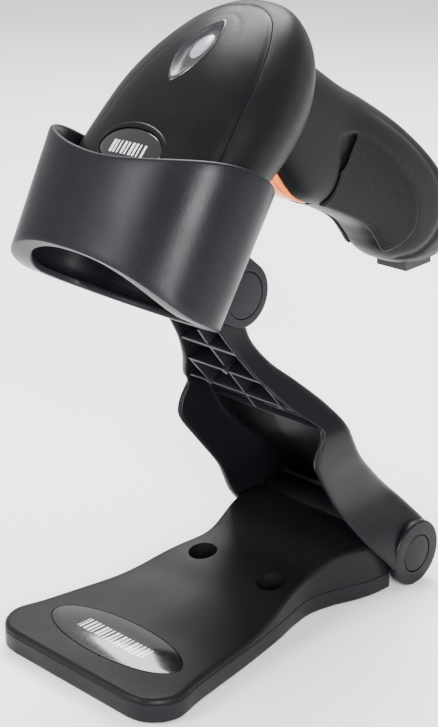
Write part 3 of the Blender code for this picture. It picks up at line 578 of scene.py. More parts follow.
HINGE_2 = Vector(joints["upper_hinge"]["pos_m"]) / MM - Vector((0, BASE_FRONT, 0))
EAR_IN, EAR_OUT, EAR_R = 9.0, 15.0, 11.3
HOLDER_ABS = moulded_plastic("holder_satin_charcoal_abs", "0e0e12", "2a2a30", 0.34, 0.4, 0.28)


def turned_metal(name, colour, roughness):
    """Drawn steel: fine rings round the bar scatter the light across it."""
    made, tree = blank_material(name)
    place = add_node(tree, "TexCoord")
    rings = add_node(tree, "TexNoise", {"Vector": place.outputs["Object"], "Scale": 2600.0, "Detail": 1.0})
    gloss = add_node(tree, "MapRange", {"Value": rings.outputs["Fac"], "To Min": roughness - 0.1,
                                        "To Max": roughness + 0.1})
    tone = add_node(tree, "Mix", {"Factor": rings.outputs["Fac"], 6: (*linear(colour), 1),
                                  7: (*[c * 0.8 for c in linear(colour)], 1)}, data_type="RGBA")
    shader = add_node(tree, "BsdfPrincipled", {"Base Color": tone.outputs[2], "Metallic": 1.0,
                                               "Roughness": gloss.outputs[0]})
    finish_material(tree, shader)
    return made


def disc_on_axis(centre, start, end, radius, rounding, sides=96):
    """A round piece about an axis along X, between two distances from the middle."""
    return cylinder((start, centre.y, centre.z), (end, centre.y, centre.z), radius, sides, rounding)


def ring_on_axis(name, centre, start, end, radius, bore, body, look, replaced):
    """A washer: a disc about X with a hole."""
    rows = []
    for out, x in ((bore, start), (radius - 0.15, start), (radius, start + 0.15 * (1 if end > start else -1)),
                   (radius, end), (bore, end)):
        rows.append([(x, centre.y + math.cos(a) * out, centre.z + math.sin(a) * out)
                     for a in np.linspace(0, 2 * math.pi, 64, endpoint=False)])
    rows.append(rows[0])
    bm = skin(rows, ends=False)
    bmesh.ops.remove_doubles(bm, verts=bm.verts, dist=1e-4)
    place_piece(name, bm, body, look, replaced)


STEEL = turned_metal("drawn_steel_pin", "b9bac0", 0.32)
NYLON = moulded_plastic("natural_nylon_washer", "c9c5b6", "dedbd0", 0.45, 0.3, 0.15)
for side, hand in ((-1, "left"), (1, "right")):
    cheek = disc_on_axis(HINGE_1, side * CHEEK_IN, side * CHEEK_OUT, HUB_R, 0.9)
    cheek = place_piece(f"arm_cheek_{hand}", cheek, "arm", ARM_ABS)
    carve(cheek, "DIFFERENCE", tool(disc_on_axis(HINGE_1, side * (CHEEK_OUT - 1.3), side * 44, 7.35, 0)))
    cap = disc_on_axis(HINGE_1, side * (CHEEK_OUT - 1.2), side * (CHEEK_OUT - 0.05), 7.0, 0.35)
    place_piece(f"lower_hinge_cap_disc_{hand}", cap, "arm", ARM_ABS, [f"lower_hinge_cap_{hand}"])
    cap = disc_on_axis(HINGE_2, side * (EAR_OUT - 1.2), side * (EAR_OUT - 0.05), 8.0, 0.35)
    place_piece(f"upper_hinge_cap_disc_{hand}", cap, "holder", HOLDER_ABS,
                [f"upper_hinge_cap_{hand}"])
    for level, centre, body in (("lower", HINGE_1, "stand_base"), ("upper", HINGE_2, "arm")):
        low, high = (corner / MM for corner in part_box(f"{level}_friction_washer_{hand}"))
        ring_on_axis(f"{level}_nylon_washer_{hand}", centre, low.x, high.x, (high.z - low.z) / 2, 3.3, body,
                     NYLON, [f"{level}_friction_washer_{hand}"])
for level, centre, body in (("lower", HINGE_1, "stand_base"), ("upper", HINGE_2, "arm")):
    low, high = (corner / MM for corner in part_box(f"{level}_hinge_pin"))
    pin = disc_on_axis(centre, low.x, high.x, (high.z - low.z) / 2, 0.5, 48)
    place_piece(f"{level}_steel_pin", pin, body, STEEL, [f"{level}_hinge_pin"])
# A curved apron of the arm wraps the back of the base's barrel.
apron = []
for turn in np.linspace(math.radians(62), math.radians(-28), 15):
    ring = [(x, HINGE_1.y + math.cos(turn) * out, HINGE_1.z + math.sin(turn) * out)
            for x, out in ((-34.5, 10.05), (34.5, 10.05), (34.5, 12.2), (-34.5, 12.2))]
    apron.append(ring)
place_piece("arm_barrel_apron", skin(apron), "arm", ARM_ABS)
place_piece("arm_knuckle", disc_on_axis(HINGE_2, -7.6, 7.6, 10.5, 0.5), "arm", ARM_ABS)

# ---------------------------------------------------------------- holder cup
# A tapered oval cup of satin ABS, open at both ends so that the scanner can read through it. Its
# rim dips at front and back and rises at the sides, a lip inside the foot stops the scanner's
# nose, and two ears behind it clasp the arm's knuckle.

CUP_TILT = math.radians(60.9)
CUP_FOOT = (24.6, 133.9)                       # where the cup's axis meets its lower rim plane
CUP_HALF = ((40.3, 26.0), (42.1, 27.2))        # half width and depth at 0 and at 45 along the axis
CUP_POWER, CUP_WALL = 2.3, 2.4


def cup_rim(angle):
    return 35.0 + 9.5 * (math.cos(angle) ** 2) ** 0.8


def cup_foot(angle):
    rise = math.sin(angle)
    return -3.5 + (8.0 * rise ** 1.6 if rise > 0 else 0.0)


def cup_point(angle, inset_x, inset_z, along):
    """A point of the cup's wall: round its axis by angle, in from its outer face, up its axis."""
    share = along / 45
    half_x = CUP_HALF[0][0] + (CUP_HALF[1][0] - CUP_HALF[0][0]) * share - inset_x
    half_z = CUP_HALF[0][1] + (CUP_HALF[1][1] - CUP_HALF[0][1]) * share - inset_z
    c, n = math.cos(angle), math.sin(angle)
    x = math.copysign(abs(c) ** (2 / CUP_POWER), c) * half_x
    z = math.copysign(abs(n) ** (2 / CUP_POWER), n) * half_z
    return (x, CUP_FOOT[0] + along * math.cos(CUP_TILT) - z * math.sin(CUP_TILT),
            CUP_FOOT[1] + along * math.sin(CUP_TILT) + z * math.cos(CUP_TILT))


def cup_profile(angle):
    """Insets and heights round the wall, from the foot's outer edge up, over the rim and down."""
    foot, rim = cup_foot(angle), cup_rim(angle)
    half = CUP_WALL / 2
    points = [(0.9, 0.9, foot), (0.25, 0.25, foot + 0.25), (0.0, 0.0, foot + 0.9)]
    points += [(0.0, 0.0, foot + 0.9 + (rim - foot - 0.9 - half) * k / 16) for k in range(1, 17)]
    points += [(half - half * math.cos(a), half - half * math.cos(a), rim - half + half * math.sin(a))
               for a in np.linspace(0, math.pi, 9)[1:-1]]
    points += [(CUP_WALL, CUP_WALL, rim - half - (rim - half - foot - 3.0) * k / 14) for k in range(15)]
    points += [(CUP_WALL + 0.5, CUP_WALL + 0.3, foot + 2.4), (8.6, 4.0, foot + 2.2), (9.0, 4.2, foot + 1.8),
               (9.0, 4.2, foot + 0.5), (8.5, 3.9, foot)]
    return points


turns = np.linspace(0, 2 * math.pi, 180, endpoint=False) + 0.0001
profiles = [cup_profile(a) for a in turns]
cup_rows = [[cup_point(a, *profile[k]) for a, profile in zip(turns, profiles)]
            for k in range(len(profiles[0]))]
cup_rows.append(cup_rows[0])
bm = skin(cup_rows, ends=False)
bmesh.ops.remove_doubles(bm, verts=bm.verts, dist=1e-4)
place_piece("holder_cup_shell", bm, "holder", HOLDER_ABS, ["holder_cup"], 40)
EAR_WEDGE = [(48.4, 124.2), (56.8, 117.2), (62.4, 113.8), (69.4, 112.3), (79.2, 126.5), (75.2, 132.4),
             (61.4, 144.0)]
for side, hand in ((-1, "left"), (1, "right")):
    low, high = sorted((side * EAR_IN, side * EAR_OUT))
    web = skin([[(x, y, z) for y, z in EAR_WEDGE] for x in (low + 0.06, high - 0.06)])
    bmesh.ops.bevel(web, geom=web.edges[:], offset=0.7, segments=3, affect="EDGES", profile=0.6)
    web = place_piece(f"holder_ear_web_{hand}", web, "holder", HOLDER_ABS)
    ear = disc_on_axis(HINGE_2, low, high, EAR_R, 0.8)
    ear = place_piece(f"holder_ear_{hand}", ear, "holder", HOLDER_ABS)
    for piece in (web, ear):
        groove = disc_on_axis(HINGE_2, side * (EAR_OUT - 1.3), side * 22, 8.2, 0)
        carve(piece, "DIFFERENCE", tool(groove))

# ---------------------------------------------------------------- scanner body
# Two PC/ABS half shells, left and right, make the head's underside and the handle; they are
# screwed together inside. The moulding is finely grained and a soft valley runs round the head
# where the top cover meets it.

LIFT = Vector(joints["scanner_lift"]["axis"]).normalized()
UPWARD = Vector((0, -LIFT.z, LIFT.y))
TRIGGER_U, TRIGGER_M = 54.5, -34.5
TRIGGER_PIVOT = Vector(joints["trigger_pivot"]["pos_m"]) / MM - Vector((0, BASE_FRONT, 0))
NOSE = TRIGGER_PIVOT - LIFT * TRIGGER_U - UPWARD * TRIGGER_M
WINDOW_ROOM = ((-19.8, -4, -9.3), (19.8, 31.5, 8.4))
BODY_PC_ABS = moulded_plastic("body_fine_grained_black_pc_abs", "08090a", "1c1e20", 0.40, 0.4, 0.3)
# Head: distance from the nose, half width, height above and below its axis
HEAD = [(0, 33.6, 16.0, 17.5), (15, 34.2, 17.4, 18.6), (30, 34.3, 18.6, 20.6), (45, 33.7, 19.0, 23.1),
        (57, 31.4, 18.0, 24.3), (67, 28.1, 16.0, 23.3), (76, 23.9, 13.3, 19.9), (83, 18.4, 10.1, 15.3),
        (87.4, 12.2, 6.9, 10.3), (89.4, 5.6, 3.3, 4.9), (89.8, 1.0, 0.6, 0.9)]
HEAD_POWER = 2.34
# Handle: front and back of each section (distance from the nose, height) and half width
HANDLE = [((53.0, -8.0), (80.0, -2.0), 19.0), ((50.6, -33.0), (86.0, -20.0), 18.0),
          ((50.2, -50.0), (91.5, -38.0), 17.0), ((56.6, -63.5), (97.5, -54.0), 16.4),
          ((62.1, -76.2), (104.1, -76.0), 16.2), ((65.4, -86.0), (107.6, -97.5), 16.3),
          ((65.8, -94.0), (106.9, -114.0), 16.4), ((65.3, -101.0), (101.4, -124.8), 15.8),
          ((66.5, -108.0), (94.0, -129.4), 13.8), ((68.8, -113.2), (89.4, -130.2), 12.0)]
# Seam of the top cover and the fine crease inside it, in plan: half width, distance from the nose
COVER_SEAM = [(29.8, 4.0), (29.8, 18.0), (29.3, 29.0), (27.7, 42.0), (25.5, 54.0), (21.3, 66.0),
              (14.9, 76.5), (7.7, 81.4), (0.0, 82.9)]
COVER_CREASE = [(21.0, 26.0), (19.6, 39.0), (15.8, 51.0), (11.2, 63.0), (6.6, 72.0), (0.0, 76.5)]
# Side view of the grip panel and of the valley along the handle's back
GRIP_PANEL = [(73, -42), (78, -46.5), (83.3, -55.8), (86.6, -66), (87.7, -77), (87.5, -85.6), (85, -93),
              (80.8, -98.7), (75.5, -101.7), (64, -101), (60, -90), (56.5, -76), (52.5, -66), (56.5, -60.5),
              (66, -51)]
BACK_VALLEY = [(88.0, -44.0), (94.5, -58.0), (98.6, -72.0), (100.7, -87.6), (99.7, -100.4), (95.7, -106.4),
               (88.1, -112.4), (77.2, -112.8), (69.0, -109.0)]


def in_stand(x, u, m):
    """A point of the scanner's own frame, in the stand's."""
    place = NOSE + LIFT * float(u) + UPWARD * float(m)
    return (float(x), place.y, place.z)


def distance_to_line(points, line):
    """Distance of each 2D point from a polyline."""
    best = np.full(len(points), 1e9)
    for a, b in zip(line[:-1], line[1:]):
        run = b - a
        share = np.clip(((points - a) @ run) / (run @ run), 0, 1)
        best = np.minimum(best, np.linalg.norm(points - a - share[:, None] * run, axis=1))
    return best


def inside_loop(points, loop):
    """Whether each 2D point lies inside a closed loop."""
    inside = np.zeros(len(points), bool)
    for (ax, ay), (bx, by) in zip(loop, np.roll(loop, -1, axis=0)):
        crosses = (ay > points[:, 1]) != (by > points[:, 1])
        span = by - ay if by != ay else 1e-9
        inside ^= crosses & (points[:, 0] < (bx - ax) * (points[:, 1] - ay) / span + ax)
    return inside


def smooth_step(value):
    value = np.clip(value, 0, 1)
    return value * value * (3 - 2 * value)


def superoval(sides, power):
    """Unit superellipse: across and up for each step round it."""
    turn = np.linspace(0, 2 * math.pi, sides, endpoint=False) + math.pi / sides
    c, s = np.cos(turn), np.sin(turn)
    return np.sign(c) * np.abs(c) ** (2 / power), np.sign(s) * np.abs(s) ** (2 / power)


head_line = steady_line(HEAD, 150)


def head_top(x, u):
    """Height of the head's top above its axis at a place in plan."""
    half = np.interp(u, head_line[:, 0], head_line[:, 1])
    high = np.interp(u, head_line[:, 0], head_line[:, 2])
    return high * np.clip(1 - np.abs(x / half) ** HEAD_POWER, 0, 1) ** (1 / HEAD_POWER)


def head_rows():
    """Sections of the head from its rounded nose to the back, pressed in along seam and crease."""
    across, up = superoval(168, HEAD_POWER)
    seam = smooth_line(COVER_SEAM, 80)
    crease = smooth_line(COVER_CREASE, 60)
    nose_round = 2.6
    sections = [(nose_round * (1 - math.cos(a)), nose_round * (1 - math.sin(a)))
                for a in np.linspace(0, math.pi / 2, 6)]
    sections += [(u, 0.0) for u in head_line[:, 0] if u > nose_round + 0.3]
    rows = []
    for u, inset in sections:
        half, high, low = (np.interp(u, head_line[:, 0], head_line[:, k]) for k in (1, 2, 3))
        x = across * (half - inset)
        m = np.where(up > 0, up * (high - inset), up * (low - inset))
        plan = np.column_stack([np.abs(x), np.full(len(x), u)])
        press = 0.42 * np.exp(-(distance_to_line(plan, seam) / 0.8) ** 2)
        press += 0.16 * np.exp(-(distance_to_line(plan, crease) / 0.55) ** 2)
        press *= smooth_step((m - 2.0) / 3.0)
        reach = np.hypot(x, m) + 1e-6
        rows.append([in_stand(a - a / r * p, u, b - b / r * p) for a, b, r, p in zip(x, m, reach, press)])
    return rows


handle_line = smooth_line([(*front, *back, half) for front, back, half in HANDLE], 130)
panel_loop = smooth_line(GRIP_PANEL + GRIP_PANEL[:1], 140)[:-1]
valley = smooth_line(BACK_VALLEY, 80)


def handle_place(place, across, up):
    """Points (x, u, m) of the handle's surface at a place along it, before any relief."""
    row = np.array([np.interp(place, np.arange(len(handle_line)), handle_line[:, k]) for k in range(5)])
    front, back = row[:2], row[2:4]
    middle, reach = (front + back) / 2, (back - front) / 2
    return np.column_stack([across * row[4], middle[0] + up * reach[0], middle[1] + up * reach[1]]), middle


def panel_depth(points):
    """Signed distance from the grip panel's edge, positive inside it."""
    side = points[:, 1:]
    away = distance_to_line(side, np.vstack([panel_loop, panel_loop[:1]]))
    depth = np.where(inside_loop(side, panel_loop), away, -away)
    return np.minimum(depth, np.abs(points[:, 0]) - 7.6)


def handle_rows():
    """Sections of the handle: sunk under the grip panels, with the valley along its back."""
    across, up = superoval(128, 2.4)
    rows = []
    for place in range(len(handle_line)):
        points, middle = handle_place(place, across, up)
        sunk = 0.55 * smooth_step(panel_depth(points) / 0.5 + 0.6)
        fade = smooth_step((-44.0 - points[:, 2]) / 22.0) * smooth_step((np.abs(points[:, 0]) - 4.0) / 4.0)
        sunk = np.maximum(sunk, 0.75 * np.exp(-(distance_to_line(points[:, 1:], valley) / 1.5) ** 2) * fade)
        inward = np.column_stack([-points[:, 0], middle[0] - points[:, 1], middle[1] - points[:, 2]])
        inward /= np.linalg.norm(inward, axis=1)[:, None] + 1e-9
        rows.append([in_stand(*p) for p in points + inward * sunk[:, None]])
    points, middle = handle_place(len(handle_line) - 1, across, up)
    for turn in np.linspace(0, math.pi / 2, 7)[1:-1]:
        shrink = 1 - 0.16 * (1 - math.cos(turn)) * 2
        push = 1.1 * math.sin(turn)
        rows.append([in_stand(x * shrink, middle[0] + (u - middle[0]) * shrink - push * 0.34,
                              middle[1] + (m - middle[1]) * shrink - push * 0.94) for x, u, m in points])
    return rows


def plan_block(line, low, high):
    """A block standing on a half outline (half width, distance from the nose) and its mirror."""
    right = [(x, u) for x, u in line]
    left = [(-x, u) for x, u in reversed(right) if x > 0.01]
    return skin([[in_stand(x, u, m) for x, u in right + left] for m in (low, high)])


def scanner_box(low, high):
    corners = [(low[0], low[1]), (high[0], low[1]), (high[0], high[1]), (low[0], high[1])]
    return skin([[in_stand(x, u, m) for x, u in corners] for m in (low[2], high[2])])


body = tool(skin(head_rows()))
carve(body, "UNION", tool(skin(handle_rows())))
head_copy = tool(skin(head_rows()))
seam_line = smooth_line(COVER_SEAM, 60)
outer_seam = [(x + 0.22 if x > 0.01 else 0.0, u + (0.22 if u > 60 else 0.0) - (0.3 if u < 5 else 0.0))
              for x, u in seam_line]
socket_low, socket_high = (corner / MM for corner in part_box("cable_socket"))
socket_centre = (socket_low + socket_high) / 2 - Vector((0, BASE_FRONT, 0))
SOCKET_TURN = Matrix.Rotation(math.radians(2.1), 4, "X")


def socket_box(half_x, half_y, low, high):
    """A box about the cable socket's axis, which points down out of the handle's butt."""
    bm = bmesh.new()
    bmesh.ops.create_cube(bm, size=1.0)
    bmesh.ops.scale(bm, verts=bm.verts, vec=(half_x * 2, half_y * 2, high - low))
    bmesh.ops.translate(bm, verts=bm.verts, vec=(0, 0, (high + low) / 2))
    bmesh.ops.transform(bm, verts=bm.verts, matrix=Matrix.Translation(socket_centre) @ SOCKET_TURN)
    return bm


cover_room = tool(plan_block(outer_seam, 2.7, 40))
window_room = tool(scanner_box(*WINDOW_ROOM))
trigger_room = tool(scanner_box((-6.5, 40, -58.8), (6.5, 64, -29.6)))
socket_room = tool(socket_box(7.2, 7.6, -12, 8.8))
carve(body, "DIFFERENCE", cover_room, window_room, trigger_room, socket_room)
for side, hand in ((-1, "left"), (1, "right")):
    half = bpy.data.objects.new(f"scanner_body_shell_{hand}", body.data.copy())
    bpy.context.scene.collection.objects.link(half)
    low, high = sorted((side * 60.0, 0.0))
    carve(half, "INTERSECT", tool(scanner_box((low, -20, -170), (high, 150, 60))))
    half.data.materials.clear()
    half.data.materials.append(BODY_PC_ABS)
    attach(half, "scanner")
    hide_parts(f"scanner_body_{hand}")
bpy.data.objects.remove(body)

# ---------------------------------------------------------------- top cover
# A third PC/ABS moulding, satin and a little smoother than the body, dropped into the head from
# above. It has an eye-shaped opening for the indicator and a bed for the name plate.

COVER_PC_ABS = moulded_plastic("cover_satin_black_pc_abs", "08080a", "1c1c20", 0.36, 0.4, 0.22)
EYE_U, EYE_HALF_U, EYE_HALF_X, EYE_POWER = 58.0, 14.0, 5.9, 1.55
PLATE_U, PLATE_HALF_X, PLATE_HALF_U = 18.3, 13.4, 6.6


def oval_in_plan(centre, half_x, half_u, power, sides=96):
    across, along = superoval(sides, power)
    return np.column_stack([across * half_x, centre + along * half_u])


def plan_prism(outline, low, high):
    return skin([[in_stand(x, u, m) for x, u in outline] for m in (low, high)])


carve(head_copy, "INTERSECT", tool(plan_block(seam_line, 3, 40)))
core = tool(scanner_box(*WINDOW_ROOM))
eye_room = tool(plan_prism(oval_in_plan(EYE_U, EYE_HALF_X - 0.15, EYE_HALF_U - 0.3, EYE_POWER), 8, 40))
plate_room = tool(plan_prism(oval_in_plan(PLATE_U, PLATE_HALF_X + 0.2, PLATE_HALF_U + 0.2, 2.0), 14.6, 40))
carve(head_copy, "DIFFERENCE", core, eye_room, plate_room)
head_copy.name = "scanner_cover_shell"
head_copy.data.materials.clear()
head_copy.data.materials.append(COVER_PC_ABS)
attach(head_copy, "scanner")
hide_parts("scanner_top_cover")


def over_head(loops, lifts):
    """Rows of points that follow the head's top, each lifted above it or sunk below."""
    return [[in_stand(x, u, head_top(x, u) + lift) for x, u in loop] for loop, lift in zip(loops, lifts)]


# ---------------------------------------------------------------- indicator
# A dished bezel of polished black PC frames an oval light pipe of milky grey diffuser, which
# shines when a code is read. Both are clipped into the cover's eye from below.

def polished_black(name, colour, roughness):
    """Polished moulding: a clean gloss with the faint ripple of a hand-finished tool."""
    made, tree = blank_material(name)
    place = add_node(tree, "TexCoord")
    ripple = add_node(tree, "TexNoise", {"Vector": place.outputs["Object"], "Scale": 260.0, "Detail": 2.0})
    rough = add_node(tree, "MapRange", {"Value": ripple.outputs["Fac"], "To Min": roughness - 0.06,
                                        "To Max": roughness + 0.08})
    tone = add_node(tree, "Mix", {"Factor": ripple.outputs["Fac"], 6: (*linear(colour), 1),
                                  7: (*[c * 1.5 for c in linear(colour)], 1)}, data_type="RGBA")
    bump = add_node(tree, "Bump", {"Height": ripple.outputs["Fac"], "Strength": 0.08, "Distance": 0.0004})
    shader = add_node(tree, "BsdfPrincipled", {"Base Color": tone.outputs[2], "Roughness": rough.outputs[0],
                                               "Normal": bump.outputs[0], "IOR": 1.58})
    finish_material(tree, shader)
    return made


def milky_diffuser():
    """Milky polycarbonate: light scatters inside it, so it looks grey and cloudy when unlit."""
    made, tree = blank_material("milky_grey_diffuser_pc")
    place = add_node(tree, "TexCoord")
    cloud = add_node(tree, "TexNoise", {"Vector": place.outputs["Object"], "Scale": 700.0, "Detail": 3.0,
                                        "Roughness": 0.7})
    tone = add_node(tree, "Mix", {"Factor": cloud.outputs["Fac"], 6: (*linear("5e6066"), 1),
                                  7: (*linear("a3a5aa"), 1)}, data_type="RGBA")
    rough = add_node(tree, "MapRange", {"Value": cloud.outputs["Fac"], "To Min": 0.2, "To Max": 0.42})
    shader = add_node(tree, "BsdfPrincipled", {"Base Color": tone.outputs[2], "Roughness": rough.outputs[0],
                                               "IOR": 1.58, "Coat Weight": 0.5, "Coat Roughness": 0.12})
    finish_material(tree, shader)
    return made


BEZEL_PC = polished_black("polished_black_bezel_pc", "1b1b1e", 0.24)
LENS_U, LENS_HALF_X, LENS_HALF_U = 60.0, 2.9, 5.6
eye = oval_in_plan(EYE_U, EYE_HALF_X + 0.35, EYE_HALF_U + 0.5, EYE_POWER)
lens_edge = oval_in_plan(LENS_U, LENS_HALF_X + 0.15, LENS_HALF_U + 0.15, 2.0)
steps = [(0.0, -0.5), (0.0, -0.05), (0.03, 0.22), (0.08, 0.30), (0.16, 0.15), (0.30, -0.45), (0.48, -0.95),
         (0.66, -1.2), (0.85, -1.3), (1.0, -1.35), (1.0, -3.2)]
bezel_rows = over_head([eye + (lens_edge - eye) * share for share, _ in steps], [lift for _, lift in steps])
bezel_rows += over_head([lens_edge + (eye - lens_edge) * share for share in (0.5, 0.8)], [-3.2, -2.6])
bezel_rows.append(bezel_rows[0])
bm = skin(bezel_rows, ends=False)
bmesh.ops.remove_doubles(bm, verts=bm.verts, dist=1e-4)
place_piece("indicator_bezel_dish", bm, "scanner", BEZEL_PC, ["indicator_bezel"], 50)
lens_rows = []
for turn in np.linspace(0, math.pi / 2, 9)[:-1]:
    loop = oval_in_plan(LENS_U, LENS_HALF_X * math.cos(turn), LENS_HALF_U * math.cos(turn), 2.0)
    lens_rows.append([in_stand(x, u, head_top(x, u) - 1.25 + 0.75 * math.sin(turn)) for x, u in loop])
lens_rows.insert(0, [in_stand(x, u, head_top(x, u) - 3.0)
                     for x, u in oval_in_plan(LENS_U, LENS_HALF_X, LENS_HALF_U, 2.0)])
place_piece("indicator_light_pipe", skin(lens_rows), "scanner", milky_diffuser(),
            ["indicator_lens"], 60)

# ---------------------------------------------------------------- scanner name plate
# A small oval plate of glossy black acrylic under a raised brow moulded round its upper edge.

print_x, print_y, print_z = in_stand(-0.5, PLATE_U - 0.6, float(head_top(0.0, PLATE_U)))
head_print = printed_acrylic("head_plate_black_acrylic",
                             (print_x * MM, (print_y + BASE_FRONT) * MM, print_z * MM),
                             (1, 0, 0), tuple(LIFT), 9, 0.0044, 0.0155)
plate_rows = over_head([oval_in_plan(PLATE_U, PLATE_HALF_X * s, PLATE_HALF_U * s, 2.0)
                        for s in (1.0, 1.0, 0.985, 0.9, 0.75, 0.55, 0.35, 0.15)],
                       [-1.2, -0.25, -0.1, -0.05, 0.0, 0.05, 0.08, 0.1])
place_piece("scanner_name_plate", skin(plate_rows), "scanner", head_print,
            ["scanner_badge"], 60)
brow_rows = []
for turn in np.linspace(0, 2 * math.pi, 12, endpoint=False):
    loop = []
    for angle in np.linspace(0, 2 * math.pi, 96, endpoint=False):
        girth = 0.25 + 0.75 * max(0.0, math.sin(angle)) ** 0.6
        reach = 0.35 + girth * 0.9 + math.cos(turn) * girth * 1.05
        x = math.cos(angle) * (PLATE_HALF_X + reach)
        u = PLATE_U + math.sin(angle) * (PLATE_HALF_U + reach)
        loop.append(in_stand(x, u, head_top(x, u) + math.sin(turn) * girth * 0.55 - 0.08))
    brow_rows.append(loop)
brow_rows.append(brow_rows[0])
bm = skin(brow_rows, ends=False)
bmesh.ops.remove_doubles(bm, verts=bm.verts, dist=1e-4)
place_piece("name_plate_brow", bm, "scanner", COVER_PC_ABS, [], 60)

# ---------------------------------------------------------------- grip panels
# Panels of soft elastomer moulded over the sides of the handle. Fine ribs sweep across them in
# arcs that bulge towards the butt, so that the fingers find a hold.

RIB_PITCH, RIB_HEIGHT, RIB_BULGE = 1.35, 0.17, 7.5


def grip_elastomer():
    """Thermoplastic elastomer: dead matt, faintly dusty in its hollows, a soft grey-black."""
    made, tree = blank_material("grip_matt_ribbed_elastomer")
    place = add_node(tree, "TexCoord")
    grain = add_node(tree, "TexNoise", {"Vector": place.outputs["Object"], "Scale": 2400.0, "Detail": 3.0})
    dust = add_node(tree, "TexNoise", {"Vector": place.outputs["Object"], "Scale": 70.0, "Detail": 4.0})
    shape = add_node(tree, "NewGeometry")
    hollow = add_node(tree, "MapRange", {"Value": shape.outputs["Pointiness"], "From Min": 0.44,
                                         "From Max": 0.56, "To Min": 0.75, "To Max": 0.25})
    amount = add_node(tree, "Math", {0: hollow.outputs[0], 1: dust.outputs["Fac"]}, operation="MULTIPLY")
    tone = add_node(tree, "Mix", {"Factor": amount.outputs[0], 6: (*linear("0d0e10"), 1),
                                  7: (*linear("1a1b1d"), 1)}, data_type="RGBA")
    bump = add_node(tree, "Bump", {"Height": grain.outputs["Fac"], "Strength": 0.25, "Distance": 0.0002})
    rough = add_node(tree, "MapRange", {"Value": dust.outputs["Fac"], "To Min": 0.52, "To Max": 0.68})
    shader = add_node(tree, "BsdfPrincipled", {"Base Color": tone.outputs[2], "Roughness": rough.outputs[0],
                                               "Normal": bump.outputs[0], "IOR": 1.51,
                                               "Specular IOR Level": 0.12})
    finish_material(tree, shader)
    return made


GRIP_TPE = grip_elastomer()
GRIP_AXIS = np.array((88.0 - 66.0, -112.0 + 8.0)) / math.hypot(22.0, 104.0)
GRIP_SIDE = np.array((-GRIP_AXIS[1], GRIP_AXIS[0]))


def grip_patch(side):
    """The part of the handle's surface inside the panel's edge, lifted and ribbed."""
    turn = np.linspace(-math.pi / 2, math.pi / 2, 150)
    c, s = np.cos(turn), np.sin(turn)
    across, up = np.abs(c) ** (2 / 2.4) * side, np.sign(s) * np.abs(s) ** (2 / 2.4)
    places = np.linspace(34, 112, 340)
    bm = bmesh.new()
    net, depths = [], []
    for place in places:
        points, middle = handle_place(place, across, up)
        depth = panel_depth(points)
        along = points[:, 1:] @ GRIP_AXIS
        wide = (points[:, 1:] - middle) @ GRIP_SIDE / 17.0
        phase = (along - RIB_BULGE * (1 - np.clip(wide, -1.2, 1.2) ** 2)) / RIB_PITCH
        ribs = RIB_HEIGHT * np.cos(2 * math.pi * phase) * smooth_step((depth - 1.2) / 1.5)
        lift = -0.3 + 0.62 * smooth_step(depth / 1.1) + ribs
        outward = np.column_stack([points[:, 0], points[:, 1] - middle[0], points[:, 2] - middle[1]])
        outward /= np.linalg.norm(outward, axis=1)[:, None] + 1e-9
        net.append([in_stand(*p) for p in points + outward * lift[:, None]])
        depths.append(depth)
    made = {}
    for i in range(len(net) - 1):
        for j in range(len(turn) - 1):
            cell = [(i, j), (i, j + 1), (i + 1, j + 1), (i + 1, j)]
            if min(depths[a][b] for a, b in cell) < 0.0:
                continue
            for corner in cell:
                if corner not in made:
                    made[corner] = bm.verts.new(net[corner[0]][corner[1]])
            bm.faces.new([made[corner] for corner in cell])
    return bm


for side, hand in ((-1, "left"), (1, "right")):
    grip = place_piece(f"grip_ribbed_panel_{hand}", grip_patch(side), "scanner", GRIP_TPE,
                       [f"grip_panel_{hand}"], 180)
    thick = grip.modifiers.new("thickness", "SOLIDIFY")
    thick.thickness = 0.8 * MM
    thick.offset = -1

# ---------------------------------------------------------------- trigger
# A narrow orange ABS key in the front of the handle. It hangs on a steel pin, a leaf spring behind
# it holds it forward, and its post presses a small switch.

def orange_abs():
    """Coloured ABS: an even, slightly translucent orange with a soft gloss worn by the finger."""
    made, tree = blank_material("trigger_satin_orange_abs")
    place = add_node(tree, "TexCoord")
    worn = add_node(tree, "TexNoise", {"Vector": place.outputs["Object"], "Scale": 160.0, "Detail": 3.0})
    rough = add_node(tree, "MapRange", {"Value": worn.outputs["Fac"], "To Min": 0.26, "To Max": 0.46})
    tone = add_node(tree, "Mix", {"Factor": worn.outputs["Fac"], 6: (*linear("f07426"), 1),
                                  7: (*linear("d85c16"), 1)}, data_type="RGBA")
    shader = add_node(tree, "BsdfPrincipled", {"Base Color": tone.outputs[2], "Roughness": rough.outputs[0],
                                               "IOR": 1.53, "Coat Weight": 0.2, "Coat Roughness": 0.2})
    finish_material(tree, shader)
    return made


TRIGGER_FACE = [(51.6, -30.4), (49.4, -34.6), (48.7, -38.5), (48.4, -43.0), (49.2, -47.0), (50.6, -50.8),
                (53.2, -56.4), (54.6, -57.3), (55.8, -57.0), (55.6, -53.0), (55.0, -49.0), (54.4, -45.0),
                (55.2, -42.0), (56.6, -39.2), (57.5, -35.0), (57.2, -32.6), (55.8, -31.4)]
trigger = skin([[in_stand(x, u, m) for u, m in TRIGGER_FACE] for x in (-5.9, 5.9)])
bmesh.ops.bevel(trigger, geom=[e for e in trigger.edges if abs(e.verts[0].co.x - e.verts[1].co.x) < 0.1],
                offset=0.9, segments=3, affect="EDGES", profile=0.5)
place_piece("trigger_key", trigger, "trigger", orange_abs(), ["trigger_button"], 40)

# ---------------------------------------------------------------- scanner fittings
# The dark red acrylic window in the nose passes the aiming and reading light. Behind it sit the
# camera module, its lights and the boards, and the cable's socket closes the handle's butt.

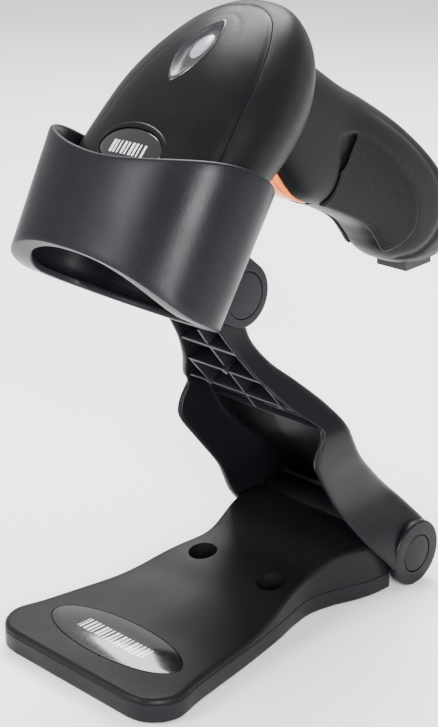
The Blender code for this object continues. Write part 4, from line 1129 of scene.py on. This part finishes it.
def stained_acrylic():
    """Red cast acrylic, so dark that it looks black until light shines through it."""
    made, tree = blank_material("dark_red_window_acrylic")
    place = add_node(tree, "TexCoord")
    haze = add_node(tree, "TexNoise", {"Vector": place.outputs["Object"], "Scale": 120.0, "Detail": 3.0})
    rough = add_node(tree, "MapRange", {"Value": haze.outputs["Fac"], "To Min": 0.03, "To Max": 0.1})
    shader = add_node(tree, "BsdfPrincipled", {"Base Color": (*linear("5a1016"), 1),
                                               "Roughness": rough.outputs[0],
                                               "Transmission Weight": 0.75, "IOR": 1.49})
    finish_material(tree, shader)
    return made


def solder_mask():
    """Glossy green lacquer over copper: tracks show through it as a paler raised pattern."""
    made, tree = blank_material("green_solder_mask_on_fr4")
    place = add_node(tree, "TexCoord")
    tracks = add_node(tree, "TexBrick", {"Vector": place.outputs["Object"], "Scale": 260.0,
                                         "Color1": (*linear("145c30"), 1), "Color2": (*linear("0f4a27"), 1),
                                         "Mortar": (*linear("2c7d49"), 1), "Mortar Size": 0.03})
    spots = add_node(tree, "TexNoise", {"Vector": place.outputs["Object"], "Scale": 500.0, "Detail": 2.0})
    rough = add_node(tree, "MapRange", {"Value": spots.outputs["Fac"], "To Min": 0.2, "To Max": 0.42})
    shader = add_node(tree, "BsdfPrincipled", {"Base Color": tracks.outputs["Color"],
                                               "Roughness": rough.outputs[0]})
    finish_material(tree, shader)
    return made


BLACK_NYLON = moulded_plastic("imager_matt_black_nylon", "1c1c1e", "333336", 0.55, 0.35, 0.3)
FITTINGS = {
    "exit_window_acrylic": stained_acrylic(),
    "lens_glass": polished_black("coated_lens_glass", "141c33", 0.1),
    "imager_black": BLACK_NYLON,
    "led_epoxy": polished_black("clear_led_epoxy", "c9cac0", 0.2),
    "aimer_green": polished_black("green_aimer_epoxy", "1f8f3a", 0.2),
    "solder_mask": solder_mask(),
    "chip_epoxy": moulded_plastic("black_moulded_chip_epoxy", "1f1f21", "3a3a3c", 0.5, 0.3, 0.3),
    "steel": STEEL,
    "zinc_screw": turned_metal("zinc_plated_screw", "c4c2b4", 0.34),
    "nylon": NYLON,
    "nonslip_rubber": moulded_plastic("nonslip_matt_rubber", "1a1a1b", "2e2e30", 0.8, 0.5, 0.5),
}
slots = {row["node"]: row["material_slot"] for row in frame["record"]["subparts"]}
for node, part in frame["nodes"].items():
    if part.hide_render:
        continue
    part.data.materials.clear()
    part.data.materials.append(FITTINGS[slots[node]])
